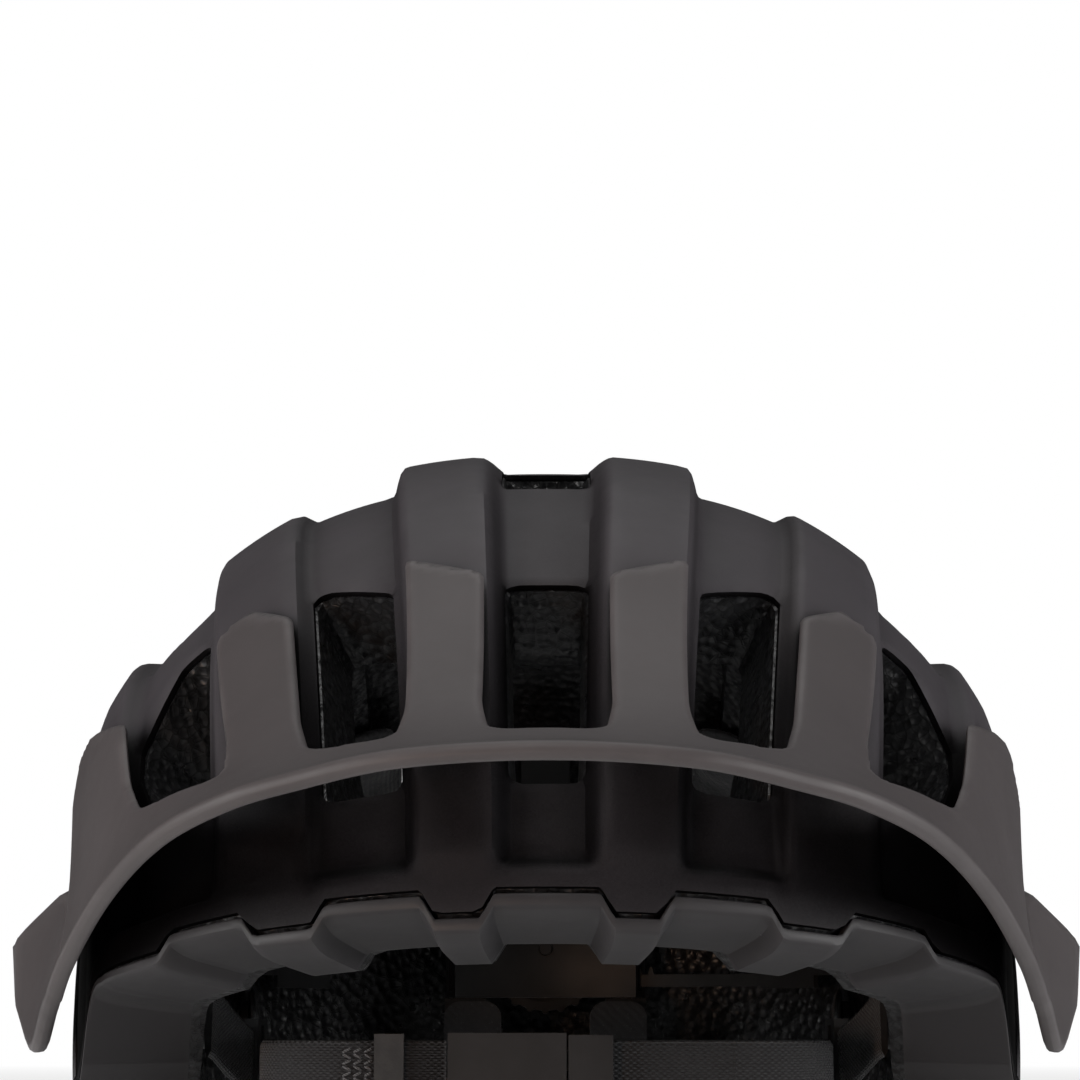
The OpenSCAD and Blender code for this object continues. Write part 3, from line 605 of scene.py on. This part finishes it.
def build_lower_shell():
    us = stepped(-U_MAX, U_MAX, 0.5, 0.5, [0], 1)
    ts = stepped(T_LOW, T_HIGH, 1.0, 1.0, [90], 1)
    loop = ([(u, T_LOW) for u in us[:-1]] + [(U_MAX, t) for t in ts[:-1]]
            + [(u, T_HIGH) for u in us[::-1][:-1]] + [(-U_MAX, t) for t in ts[::-1][:-1]])
    U = np.array([p[0] for p in loop])
    T = np.array([p[1] for p in loop])
    rings = []
    for m, off in RIM:
        u, t = surface_uv(U, T, m)
        rings.append(dome(u, t, off + 0 * u))
    pts = np.stack(rings, 1)
    pts[..., 2] = np.maximum(pts[..., 2], 0)
    n, k = pts.shape[:2]
    faces = [(i * k + j, ((i + 1) % n) * k + j, ((i + 1) % n) * k + (j + 1) % k, i * k + (j + 1) % k)
             for i in range(n) for j in range(k)]
    obj = new_object("lower_shell_band", pts.reshape(-1, 3) * MM, faces, LOWER, 30)
    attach(obj, "helmet")
    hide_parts("lower_shell")


# ------------------------------------------------ visor
# Lip of the visor: columns, and the point of the lip at each
LIP_U = [0, 13.2, 24.6, 32, 40, 46.6, 54, 58, 62, 66]
LIP = np.array([[0, -181, 67], [26, -178.6, 65.7], [45, -170, 62.3], [58, -162, 59],
                [71, -147, 53.5], [83, -124, 44.5], [93.5, -97, 32.5], [99.5, -76, 23],
                [105, -54, 15], [112.5, -33, 27]], float)
MAIN_U = 57.0        # the brim's fingers end here and the side wings begin
WING_END = 66.0
WING_U = [57, 60, 63, 66]
WING_TOP = [[99.5, -45, 48.5], [107.5, -33.5, 44.0], [114.2, -26.5, 37.5]]
FINGERS = [(6.0, 13.2), (23.9, 31.3), (43.0, 55.6)]
TIP_U = [5.3, 13.0, 19, 23.2, 27.8, 31.4, 38, 42.2, 49.5, 52.5, 56]
TIP_T = [40.6, 43.9, 43, 40.6, 45.4, 43.6, 41, 41.3, 53.5, 55.0, 48.5]
COL_MM = 1.9         # millimetres between the visor's columns
WEB_R = 7.5          # round between a finger and the bar
TIP_R = 1.6
VISOR_T = 2.2
LIP_EXTRA = 1.5      # the lip is rolled thicker than the rest
FINGER_GAP = 1.5


def spline_through(knots, pts, x):
    """Smooth curve through pts at parameter values knots."""
    x = np.asarray(x, float)
    k = np.clip(np.searchsorted(knots, x, side="right") - 1, 0, len(knots) - 2)
    knots = np.asarray(knots, float)
    f = ((x - knots[k]) / (knots[k + 1] - knots[k]))[..., None]
    before = pts[1] * [-1, 1, 1] if pts[0][0] == 0 else 2 * pts[0] - pts[1]
    p = np.vstack([before, pts, 2 * pts[-1] - pts[-2]])
    a, b, c, d = p[k], p[k + 1], p[k + 2], p[k + 3]
    return 0.5 * (2 * b + (c - a) * f + (2 * a - 5 * b + 4 * c - d) * f**2
                  + (3 * b - a - 3 * c + d) * f**3)


def end_t(u):
    """Fan angle that each column's curve runs up to, a little beyond the finger tips."""
    return np.interp(u, [13.2, 24, 33, 42], [46, 47, 47, 58])


def rib_off(u):
    """Height of a finger over the dome."""
    return np.where(u < 19, 0, -2.2 + ss((u - 44) / 5)) + FINGER_GAP


def bar_v(u):
    """Share of each column that the brim bar takes up."""
    return 0.17 + 0.15 * ss(u / 54) + 0.035 * (1 - ss(u / 12)) + 0.025 * ss((u - 14) / 10)


def brim(u, v):
    """Column curve from the lip, v = 0, to the finger's tip, which it meets along the rib."""
    tip = dome(u, end_t(u), rib_off(u))
    lip = spline_through(LIP_U, LIP, u)
    span = np.linalg.norm(lip - tip, axis=-1)[..., None]
    down = dome(u, end_t(u) - 6, rib_off(u)) - tip
    p1 = tip + down / np.linalg.norm(down, axis=-1)[..., None] * span * 0.42
    p2 = lip + np.array([0, 0.34, 0.06]) * span
    v = v[..., None]
    a = 1 - v
    return a**3 * lip + 3 * a * a * v * p2 + 3 * a * v * v * p1 + v**3 * tip


def wing_edges(a):
    """Upper and lower edge of the side wing."""
    start = brim(np.array([MAIN_U]), bar_v(np.array([MAIN_U])))[0]
    tops = np.array([start] + WING_TOP)
    u = np.maximum(a, MAIN_U)
    return spline_through(WING_U, tops, u), spline_through(LIP_U, LIP, u)


def visor_surface(U, V):
    """V is 0 at the lip, 1 at the top of the brim bar and 2 beyond the finger tips."""
    a = np.abs(U)
    inner_u = np.minimum(a, MAIN_U)
    v = np.where(V <= 1, V * bar_v(inner_u), mix(bar_v(inner_u), 1, V - 1))
    main = brim(inner_u, v)
    top, low = wing_edges(a)
    wing = mix(low, top, np.minimum(V, 1)[..., None])
    p = np.where((a > MAIN_U)[..., None], wing, main)
    return p * np.stack([np.where(U < 0, -1, 1), np.ones_like(U), np.ones_like(U)], -1)


def along_column(U, V):
    """Distance from the lip along a column, and the height of the bar there."""
    inner_u = np.minimum(np.abs(U), MAIN_U)
    tip = dome(inner_u, end_t(inner_u), rib_off(inner_u))
    length = np.linalg.norm(tip - spline_through(LIP_U, LIP, inner_u), axis=-1) * 1.03
    b = bar_v(inner_u)
    return np.where(V <= 1, V * b, mix(b, 1, V - 1)) * length, b * length


def visor_distance(U, V):
    """Positive inside the outline of the fingers and the bar."""
    a = np.abs(U)
    y, bar_y = along_column(U, V)
    best = y - bar_y
    for lo, hi in FINGERS:
        flare = 1.5 * ss(1 - (y - bar_y) / 24)
        d = np.abs(a - (lo + hi) / 2) * COL_MM - (hi - lo) / 2 * COL_MM - flare
        h = np.clip(0.5 + 0.5 * (best - d) / WEB_R, 0, 1)
        best = mix(best, d, h) - WEB_R * h * (1 - h)
    P = visor_surface(U, V)
    fan = np.degrees(np.arctan2(P[..., 2] - FAN_Z, -P[..., 1]))
    tip = (fan - np.interp(a, TIP_U, TIP_T)) * COL_MM
    h = np.clip(0.5 + 0.5 * (tip - best) / TIP_R, 0, 1)
    return -(mix(best, tip, h) + TIP_R * h * (1 - h))


def turned(name, place, axis, outline, material, body, sides=40):
    """Solid of revolution; outline is (distance along the axis, radius) in millimetres."""
    axis = np.array(axis, float) / np.linalg.norm(axis)
    one = np.cross(axis, [0.0, 0.0, 1.0] if abs(axis[2]) < 0.9 else [1.0, 0.0, 0.0])
    one /= np.linalg.norm(one)
    two = np.cross(axis, one)
    turn = np.linspace(0, 2 * math.pi, sides, endpoint=False)
    verts = [np.array(place) + axis * z + r * (one * math.cos(q) + two * math.sin(q))
             for z, r in outline for q in turn]
    faces = []
    for i in range(len(outline) - 1):
        low, high = i * sides, (i + 1) * sides
        faces += [(low + q, low + (q + 1) % sides, high + (q + 1) % sides, high + q) for q in range(sides)]
    faces += [tuple(range(sides)), tuple(range(len(verts) - 1, len(verts) - sides - 1, -1))]
    obj = new_object(name, np.array(verts) * MM, faces, material, 35)
    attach(obj, body)
    return obj


def build_studs():
    """Snap posts under the visor's wings, with a barbed end inside the socket."""
    post = [(90, 1.2), (91, 1.95), (93.5, 1.95), (94, 1.6), (103.2, 1.6),
            (103.4, 3.2), (103.8, 3.6), (105.2, 3.6), (106.2, 2.6), (109.6, 2.2)]
    for side, tag in ((-1, "left"), (1, "right")):
        obj = turned("visor_post_" + tag, (0, -32, 40), (side, 0, 0), post, VISOR, "visor")
        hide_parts("visor_stud_" + tag)


def build_visor():
    marks = [v for f in FINGERS for v in f]
    marks = marks + [-v for v in marks] + [MAIN_U, -MAIN_U]
    cols = stepped(-WING_END, WING_END, 0.95, 0.33, marks, 1.9)
    rows = np.concatenate([[0, 0.012, 0.03, 0.06, 0.1, 0.15, 0.22, 0.3, 0.42, 0.55, 0.68],
                           [0.8, 0.9, 0.96, 1, 1.006, 1.014, 1.024], np.linspace(1.04, 2, 52)])
    U, V = np.meshgrid(cols, rows, indexing="ij")
    mid_u = (np.abs(U[:-1, :-1]) + np.abs(U[1:, :-1])) / 2
    mid_v = (V[:-1, :-1] + V[:-1, 1:]) / 2
    U, V, keep = snapped(U, V, visor_distance, COL_MM, 70.0)
    keep = (keep | ((mid_u > MAIN_U) & (mid_v < 1))) & ~((mid_u > MAIN_U) & (mid_v > 1))
    P = visor_surface(U, V)
    normal = np.cross(np.gradient(P, axis=0), np.gradient(P, axis=1))
    normal /= np.maximum(np.linalg.norm(normal, axis=-1, keepdims=True), 1e-9)
    normal = np.where(((normal * (P - [0, 20, 20])).sum(-1) < 0)[..., None], -normal, normal)
    a = np.abs(U)
    y, _ = along_column(U, V)
    top, low = wing_edges(a)
    wide = np.linalg.norm(top - low, axis=-1)
    in_wing = np.minimum(np.minimum(V, 1 - V) * wide, (WING_END - a) * 5.5)
    inset = np.where(a > MAIN_U, in_wing, np.minimum(visor_distance(U, V), y))
    lip_near = (1 - ss(np.where(a > MAIN_U, V * wide, y) / 11)) * (1 - ss((a - 60) / 5))
    thick = VISOR_T + LIP_EXTRA * lip_near
    reach = np.clip(inset / (thick * 0.5), 0, 1)
    half = np.maximum(thick / 2 * np.sqrt(1 - (1 - reach) ** 2), 0.12)[..., None]
    mid = P + normal * VISOR_T / 2
    obj = sheet("visor_body", mid + normal * half, mid - normal * half, keep, VISOR, smooth_angle=180)
    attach(obj, "visor")
    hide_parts("visor")


# ------------------------------------------------ pads, inflated as cloth
def pad_point(rect, a, b, off):
    """Point on the liner's inner face.

    a and b run 0 to 1 over a rounded rectangle; off is measured inward."""
    u0, u1, t0, t1 = rect
    p, q = 2 * a - 1, 2 * b - 1
    p, q = p * np.sqrt(1 - PAD_ROUND * q * q), q * np.sqrt(1 - PAD_ROUND * p * p)
    u, t = mix(u0, u1, (p + 1) / 2), mix(t0, t1, (q + 1) / 2)
    return dome(u, t, cavity_off(u, t) - off)


PAD_ROUND = 0.3
PAD_LIFT = 1.0       # thickness of the hook tape behind each pad
# Patches as side and fan angles, thickness, and the number of quilted cells each way
PADS = {
    "brow_pad": ([(-42, 42, 14, 27)], 6.0, 14, 2),
    "crown_pads": ([(-4.5, 4.5, 87, 114), (-30, -9, 62, 88), (9, 30, 62, 88)], 5.0, 3, 3),
    "side_pad_left": ([(-56, -44, 62, 122)], 5.0, 1, 5),
    "side_pad_right": ([(44, 56, 62, 122)], 5.0, 1, 5),
    "rear_pads": ([(-34, -20, 128, 150), (20, 34, 128, 150)], 5.0, 2, 2),
}


def start_pad(rect, thick, n, m, quilt_a, quilt_b):
    """Grid solid a little thinner than the pad, and how free each point is to swell."""
    a, b = np.meshgrid(np.linspace(0, 1, n + 1), np.linspace(0, 1, m + 1), indexing="ij")
    rim = np.minimum(np.minimum(a, 1 - a) * n, np.minimum(b, 1 - b) * m)
    edge = 0.42 + 0.58 * ss(rim / 3.0)
    lines = np.minimum(np.abs(a * quilt_a - np.round(a * quilt_a)) / quilt_a * n,
                       np.abs(b * quilt_b - np.round(b * quilt_b)) / quilt_b * m)
    free = ss(rim / 1.5) * ss(lines / 1.2)
    front = pad_point(rect, a, b, PAD_LIFT + thick * 0.72 * edge * (0.84 + 0.16 * ss(lines / 2)))
    back = pad_point(rect, a, b, PAD_LIFT + 0 * a)
    return front, back, free


def build_pads():
    todo = []
    for name, (rects, thick, quilt_a, quilt_b) in PADS.items():
        verts, faces, free, base = [], [], [], 0
        for rect in rects:
            mid = dome(np.array([(rect[0] + rect[1]) / 2]), np.array([(rect[2] + rect[3]) / 2]), -FOAM_T)[0]
            wide = np.linalg.norm(pad_point(rect, np.array(0.0), np.array(0.5), 0) - mid) * 2
            high = np.linalg.norm(pad_point(rect, np.array(0.5), np.array(0.0), 0) - mid) * 2
            n, m = max(8, int(wide / 2.2)), max(8, int(high / 2.2))
            front, back, f = start_pad(rect, thick, n, m, quilt_a, quilt_b)
            w, half = m + 1, (n + 1) * (m + 1)
            verts += [front.reshape(-1, 3), back.reshape(-1, 3)]
            free += [f.reshape(-1), 0 * f.reshape(-1)]
            for i in range(n):
                for j in range(m):
                    k = base + i * w + j
                    faces.append((k, k + w, k + w + 1, k + 1))
                    faces.append((k + half, k + half + 1, k + half + w + 1, k + half + w))
            ring = ([(i, 0) for i in range(n)] + [(n, j) for j in range(m)]
                    + [(i, m) for i in range(n, 0, -1)] + [(0, j) for j in range(m, 0, -1)])
            for (i0, j0), (i1, j1) in zip(ring, ring[1:] + ring[:1]):
                p, q = base + i0 * w + j0, base + i1 * w + j1
                faces.append((q, p, p + half, q + half))
            base += 2 * half
        obj = new_object(name + "_body", np.concatenate(verts) * MM, faces, KNIT, 80)
        group = obj.vertex_groups.new(name="hold")
        free = np.concatenate(free)
        for k, f in enumerate(free):
            group.add([k], float(1 - f), "REPLACE")
        todo.append((name, obj))
    swell([obj for _, obj in todo], pressure=4.0, frames=20, cap=3.0)
    for name, obj in todo:
        mod = obj.modifiers.new("round", "SUBSURF")
        mod.levels = mod.render_levels = 1
        apply_modifiers(obj)
        for f in obj.data.polygons:
            f.use_smooth = True
        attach(obj, "helmet")
        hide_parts(name)
        stitch_pad(name, obj)


def swell(objs, pressure, frames, cap):
    """Runs all pads as cloth under inner pressure, then caps how far any point has moved."""
    scene = bpy.context.scene
    start = []
    for obj in objs:
        start.append(np.array([v.co[:] for v in obj.data.vertices]))
        mod = obj.modifiers.new("cloth", "CLOTH")
        mod.settings.quality = 5
        mod.settings.mass = 0.2
        mod.settings.use_pressure = True
        mod.settings.uniform_pressure_force = pressure
        mod.settings.vertex_group_mass = "hold"
        mod.settings.effector_weights.gravity = 0
        mod.settings.bending_stiffness = 0.3
        mod.collision_settings.use_collision = False
        mod.point_cache.frame_start = 1
        mod.point_cache.frame_end = frames
    for frame_no in range(1, frames + 1):
        scene.frame_set(frame_no)
    graph = bpy.context.evaluated_depsgraph_get()
    ends = [np.array([v.co[:] for v in obj.evaluated_get(graph).data.vertices]) for obj in objs]
    for obj, a, b in zip(objs, start, ends):
        obj.modifiers.clear()
        d = np.nan_to_num(b - a)
        length = np.linalg.norm(d, axis=1, keepdims=True)
        d *= np.minimum(1, cap * MM / np.maximum(length, 1e-9))
        obj.data.vertices.foreach_set("co", (a + d).reshape(-1))
        obj.data.update()
    scene.frame_set(1)


THREAD_RING = [(-1, -0.5), (-0.6, -1), (0.6, -1), (1, -0.5), (1, 0.5), (0.6, 1), (-0.6, 1), (-1, 0.5)]


def stitch_mesh(name, rows, body, size=(1.9, 0.55, 0.4)):
    """One short thread at each (place, direction, normal), in millimetres."""
    verts, faces = [], []
    for place, along, up in rows:
        across = np.cross(along, up)
        k = len(verts)
        for z, shrink in ((-0.5, 1.0), (0.35, 0.9), (0.6, 0.55)):
            for sx, sy in THREAD_RING:
                verts.append(place + along * sx * size[0] / 2 * shrink
                             + across * sy * size[1] / 2 * shrink + up * z * size[2])
        for ring in range(2):
            for q in range(8):
                a, b = k + ring * 8 + q, k + ring * 8 + (q + 1) % 8
                faces.append((a, b, b + 8, a + 8))
        faces.append(tuple(range(k + 16, k + 24)))
        faces.append(tuple(range(k + 7, k - 1, -1)))
    obj = new_object(name, np.array(verts) * MM, faces, THREAD, 60)
    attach(obj, body)
    return obj


def stitch_pad(name, obj):
    """A row of stitches just inside the pad's edge, lying on its front face."""
    centre = Vector((0, 0, FAN_Z * MM))
    rows = []
    for rect in PADS[name][0]:
        wide = 2 * (rect[1] - rect[0]) + 2 * (rect[3] - rect[2])
        count = int(wide * 1.9 / 3.2)
        s = np.arange(count) / count * 4
        inset = 0.065
        a = np.where(s < 1, s, np.where(s < 2, 1, np.where(s < 3, 3 - s, 0)))
        b = np.where(s < 1, 0, np.where(s < 2, s - 1, np.where(s < 3, 1, 4 - s)))
        a, b = np.clip(a, inset, 1 - inset), np.clip(b, 0.11, 0.89)
        loop = pad_point(rect, a, b, 0)
        for k in range(count):
            aim = Vector(loop[k] * MM) - centre
            ok, place, normal, _ = obj.ray_cast(centre, aim.normalized())
            if not ok:
                continue
            along = loop[(k + 1) % count] - loop[k - 1]
            up = np.array(normal)
            along = along - up * along.dot(up)
            along /= max(np.linalg.norm(along), 1e-6)
            rows.append((np.array(place) / MM, along, up))
    thread = stitch_mesh(name + "_stitching", rows, "helmet")


# ------------------------------------------------ webbing
def ribbon(name, path, wide_dir, width, thick, body=None, steps=90):
    """Flat webbing along a path; wide_dir is the direction of its width. UVs are millimetres."""
    path = np.array(path, float)
    wide_dir = np.broadcast_to(np.array(wide_dir, float), path.shape)
    knots = np.concatenate([[0], np.cumsum(np.linalg.norm(np.diff(path, axis=0), axis=1))])
    s = np.linspace(0, knots[-1], steps + 1)
    centre = np.stack([np.interp(s, knots, path[:, k]) for k in range(3)], 1)
    side = np.stack([np.interp(s, knots, wide_dir[:, k]) for k in range(3)], 1)
    for _ in range(6):
        centre[1:-1] = (centre[:-2] + 2 * centre[1:-1] + centre[2:]) / 4
        side[1:-1] = (side[:-2] + 2 * side[1:-1] + side[2:]) / 4
    tangent = np.gradient(centre, axis=0)
    tangent /= np.linalg.norm(tangent, axis=1, keepdims=True)
    side -= tangent * (side * tangent).sum(1, keepdims=True)
    side /= np.linalg.norm(side, axis=1, keepdims=True)
    up = np.cross(tangent, side)
    ring = []
    for x in np.linspace(-1, 1, 13):
        selvedge = 0.05 if abs(abs(x) - 0.8) < 0.1 else 0
        ring.append((x, 0.5 * math.sqrt(max(0.0, 1 - abs(x) ** 7)) + selvedge))
    outline = ring + [(x, -y) for x, y in reversed(ring)][1:-1]
    wave = 0.18 * np.sin(s / 9.0) * np.sin(s / 23.0 + 1)
    verts = []
    for k in range(steps + 1):
        for x, y in outline:
            verts.append(centre[k] + side[k] * x * width / 2 + up[k] * (y * thick + wave[k] * x))
    w = len(outline)
    faces, uvs = [], []
    for k in range(steps):
        for q in range(w):
            a, b = k * w + q, k * w + (q + 1) % w
            faces.append((a, b, b + w, a + w))
            x0, x1 = outline[q][0] * width / 2, outline[(q + 1) % w][0] * width / 2
            uvs += [(x0, s[k]), (x1, s[k]), (x1, s[k + 1]), (x0, s[k + 1])]
    for cap in (tuple(range(w)), tuple(range(steps * w + w - 1, steps * w - 1, -1))):
        faces.append(cap)
        uvs += [(0.0, 0.0)] * w
    mesh = bpy.data.meshes.new(name)
    mesh.from_pydata([tuple(v * MM) for v in verts], [], faces)
    layer = mesh.uv_layers.new(name="weave")
    for loop, uv in zip(layer.data, uvs):
        loop.uv = uv
    for f in mesh.polygons:
        f.use_smooth = len(f.vertices) == 4
    mesh.materials.append(WEB)
    obj = bpy.data.objects.new(name, mesh)
    bpy.context.scene.collection.objects.link(obj)
    if body:
        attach(obj, body)
    return obj


def bar_tack(name, place, along, across, up, body, width=12.0):
    """Zigzag sewing that holds a folded strap end."""
    rows = []
    along, across, up = (np.array(v, float) / np.linalg.norm(v) for v in (along, across, up))
    count = int(width / 1.1)
    for row in (-2.2, 0.0, 2.2):
        for k in range(count):
            spot = np.array(place, float) + across * ((k + 0.5) / count - 0.5) * width + along * row
            slant = along * (1 if k % 2 else -1) * 1.0 + across * 0.5
            rows.append((spot + up * 0.75, slant / np.linalg.norm(slant), up))
    obj = stitch_mesh(name, rows, body)
    return obj


WEB_W, WEB_T = 15.0, 1.4
WEB_Z = 3 + WEB_W / 2    # height of the chin loop's centre line
LOOP_X, LOOP_Y, LOOP_R = 60, -70, 22            # side and front of the loop, and its bend
FRONT_PATH = [(71.4, -40, 21.8), (70.6, -34, 21), (68.2, -22, 17), (65.9, -10, 13.6), (65.2, -6.2, 13)]
REAR_PATH = [(71.0, 66, 22.6), (70.0, 60, 22), (67.8, 42, 18), (65.9, 24, 14), (65.2, 18.2, 13)]
TACKS = [("front", (66.4, -11, 14), (0.23, -1, 0.3)), ("rear", (66.4, 24, 14), (0.1, 1, 0.3))]
SOCKET_X, PLUG_X, LOOP_END_X = 20.4, 13.0, 38.0     # where the webbing meets the buckle
TACK_X = -38.4           # beyond the reach of the keeper


def build_harness():
    up = (0, 0, 1)
    mid_r, mid_x, mid_y = LOOP_R - WEB_T / 2, LOOP_X - WEB_T / 2, LOOP_Y + WEB_T / 2
    for side, tag in ((-1, "left"), (1, "right")):
        flip = np.array([side, 1, 1])
        for where, path in (("front", FRONT_PATH), ("rear", REAR_PATH)):
            strap = ribbon("%s_strap_web_%s" % (where, tag), np.array(path) * flip, up,
                           WEB_W, WEB_T, "helmet")
            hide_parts("%s_strap_%s" % (where, tag))
        for where, spot, toward in TACKS:
            bar_tack("strap_tack_%s_%s" % (where, tag), np.array(spot) * flip, np.array(toward) * flip,
                     up, (-side, 0, 0), "helmet")
        bend = []
        for q in range(90, -1, -10):
            bend.append((LOOP_X - LOOP_R + mid_r * math.sin(q * RAD),
                         LOOP_Y + LOOP_R - mid_r * math.cos(q * RAD), WEB_Z))
        far = SOCKET_X if side < 0 else LOOP_END_X
        path = [(mid_x, 8.5, WEB_Z), (mid_x, 1.0, WEB_Z)] + bend + [(far, mid_y, WEB_Z)]
        strap = ribbon("chin_web_" + tag, np.array(path) * flip, up, WEB_W, WEB_T, "chin_loop", steps=160)
        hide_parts("chin_strap_" + tag)
        bar_tack("chin_tack_" + tag, np.array((mid_x, -5.0, WEB_Z)) * flip, (0, 1, 0), up,
                 (-side, 0, 0), "chin_loop")
        # the strap's end, folded back round the divider's pin
        inner_x = LOOP_X - WEB_T - 1.2
        fold = [(inner_x, -9, WEB_Z), (inner_x + 0.4, 2, WEB_Z), (58.2, 10.2, WEB_Z), (56.8, 10.6, WEB_Z)]
        ribbon("chin_fold_" + tag, np.array(fold) * flip, up, WEB_W - 0.6, WEB_T, "chin_loop", steps=40)
    last = [(LOOP_END_X + 0.4, mid_y, WEB_Z), (26, mid_y + 0.2, WEB_Z), (PLUG_X, mid_y, WEB_Z)]
    strap = ribbon("chin_web_adjuster", last, up, WEB_W, WEB_T, None, steps=40)
    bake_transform(strap)
    bar_tack("buckle_tack", (TACK_X, mid_y, WEB_Z), (1, 0, 0), up, (0, -1, 0), "chin_loop")


build_outer_shell()
build_liner()
build_lower_shell()
build_visor()
build_studs()
build_pads()
build_harness()

# ------------------------------------------------ carried-over CAD nodes
FINISH = {"steel": STEEL, "rubber": RUBBER, "moulded_plastic": NYLON, "lever_plastic": GREY_NYLON,
          "visor": VISOR, "padding": KNIT, "webbing": WEB, "hook_fabric": HOOK, "foam": FOAM,
          "shell": SHELL, "lower_shell": LOWER}
for part in frame["record"]["subparts"]:
    node = frame["nodes"][part["node"]]
    node.data.materials.clear()
    node.data.materials.append(FINISH[part["material_slot"]])
    if not node.hide_render and part["material_slot"] not in ("padding", "webbing"):
        add_bevel(node, 0.25, 2, 35)

# ------------------------------------------------ camera, light and floor
CAMERA = (-0.00135, -0.8, 0.02)     # in front of the lip and low, as the helmet is seen from below
LOOK_UP = 7.84
LENS = 118.6
camera_data = bpy.data.cameras.new("camera")
camera_data.sensor_width = 36
camera_data.lens = LENS
camera_data.clip_end = 50
camera = bpy.data.objects.new("camera", camera_data)
bpy.context.scene.collection.objects.link(camera)
camera.location = CAMERA
camera.rotation_euler = ((90 + LOOK_UP) * RAD, 0, 0)
bpy.context.scene.camera = camera


def area_light(name, place, target, size, energy, tint):
    data = bpy.data.lights.new(name, "AREA")
    data.shape = "DISK"
    data.size = size
    data.energy = energy
    data.color = tint
    obj = bpy.data.objects.new(name, data)
    bpy.context.scene.collection.objects.link(obj)
    obj.location = place
    obj.rotation_euler = (Vector(target) - Vector(place)).to_track_quat("-Z", "Y").to_euler()


# name, place, target, size, energy and tint
LIGHTS = [
    ("top_softbox", (0.0, 0.15, 1.6), (0, 0, 0.05), 1.7, 8, (1, 1, 1)),
    ("front_fill", (-0.25, -1.25, 1.35), (0, -0.1, 0.05), 0.8, 8, (1.0, 0.98, 0.96)),
    ("right_strip", (1.25, -0.55, 0.16), (0, -0.05, 0.06), 0.9, 17, (1, 1, 1)),
    ("left_strip", (-1.25, -0.55, 0.16), (0, -0.05, 0.06), 0.9, 17, (1, 1, 1)),
    ("under_fill", (0.0, 0.3, -0.9), (0, 0.05, 0.05), 0.8, 4, (1, 1, 1)),
    ("warm_bounce", (-0.3, -0.72, -0.02), (-0.07, -0.12, 0.02), 0.10, 0.9, (1.0, 0.62, 0.42)),
]
for light in LIGHTS:
    area_light(*light)

# White to the camera, and a dimmer sky that lights from above
world = bpy.data.worlds.new("studio")
bpy.context.scene.world = world
world.use_nodes = True
tree = world.node_tree
direct = tree.nodes["Background"]
direct.inputs["Color"].default_value = (1, 1, 1, 1)
ambient = tree.nodes.new("ShaderNodeBackground")
ambient.inputs["Strength"].default_value = 0.3
coord = tree.nodes.new("ShaderNodeTexCoord")
height = tree.nodes.new("ShaderNodeSeparateXYZ")
sky = tree.nodes.new("ShaderNodeValToRGB")
sky.color_ramp.elements[0].position = 0.5
sky.color_ramp.elements[0].color = (0.07, 0.065, 0.065, 1)
sky.color_ramp.elements[1].position = 0.9
sky.color_ramp.elements[1].color = (1, 1, 1, 1)
seen = tree.nodes.new("ShaderNodeLightPath")
chooser = tree.nodes.new("ShaderNodeMixShader")
tree.links.new(coord.outputs["Generated"], height.inputs[0])
tree.links.new(height.outputs["Z"], sky.inputs["Fac"])
tree.links.new(sky.outputs["Color"], ambient.inputs["Color"])
tree.links.new(seen.outputs["Is Camera Ray"], chooser.inputs["Fac"])
tree.links.new(ambient.outputs[0], chooser.inputs[1])
tree.links.new(direct.outputs[0], chooser.inputs[2])
tree.links.new(chooser.outputs[0], tree.nodes["World Output"].inputs["Surface"])
bpy.context.scene.view_settings.view_transform = "Standard"


# The floor brightens to plain white between these distances from the helmet, in metres
FADE = (("From Min", 0.2), ("From Max", 1.3), ("To Min", 0.45), ("To Max", 1.0))
FLOOR_Z = -0.0003


def build_floor():
    bm = bmesh.new()
    bmesh.ops.create_grid(bm, x_segments=8, y_segments=8, size=6.0)
    mesh = bpy.data.meshes.new("floor")
    bm.to_mesh(mesh)
    bm.free()
    floor = bpy.data.objects.new("floor", mesh)
    bpy.context.scene.collection.objects.link(floor)
    n = Nodes("pale_floor")
    color = n.blend(n.noise(3.0), (0.90, 0.90, 0.90), (0.94, 0.94, 0.94))
    rough = n.ramp(n.noise(6.0), [(0.3, 0.75), (0.7, 0.85)])
    mat = n.finish(color, rough)
    glow = n.add("ShaderNodeEmission", Strength=1.0)
    place = n.add("ShaderNodeVectorMath", operation="LENGTH")
    n.link(n.coord.outputs["Object"], place.inputs[0])
    far = n.add("ShaderNodeMapRange")
    for key, value in FADE:
        far.inputs[key].default_value = value
    n.link(place.outputs["Value"], far.inputs["Value"])
    path = n.add("ShaderNodeLightPath")
    fade = n.math("MULTIPLY", far.outputs["Result"], path.outputs["Is Camera Ray"])
    lit = n.add("ShaderNodeMixShader")
    n.link(fade, lit.inputs["Fac"])
    n.link(n.bsdf.outputs[0], lit.inputs[1])
    n.link(glow.outputs[0], lit.inputs[2])
    # the floor hides nothing from below, so the inside can be lit and looked at
    clear = n.add("ShaderNodeBsdfTransparent")
    side = n.add("ShaderNodeNewGeometry")
    below = n.math("MAXIMUM", side.outputs["Backfacing"], path.outputs["Is Shadow Ray"])
    pick = n.add("ShaderNodeMixShader")
    n.link(below, pick.inputs["Fac"])
    n.link(lit.outputs[0], pick.inputs[1])
    n.link(clear.outputs[0], pick.inputs[2])
    n.link(pick.outputs[0], n.tree.nodes["Material Output"].inputs["Surface"])
    mesh.materials.append(mat)
    floor.location.z = FLOOR_Z


build_floor()
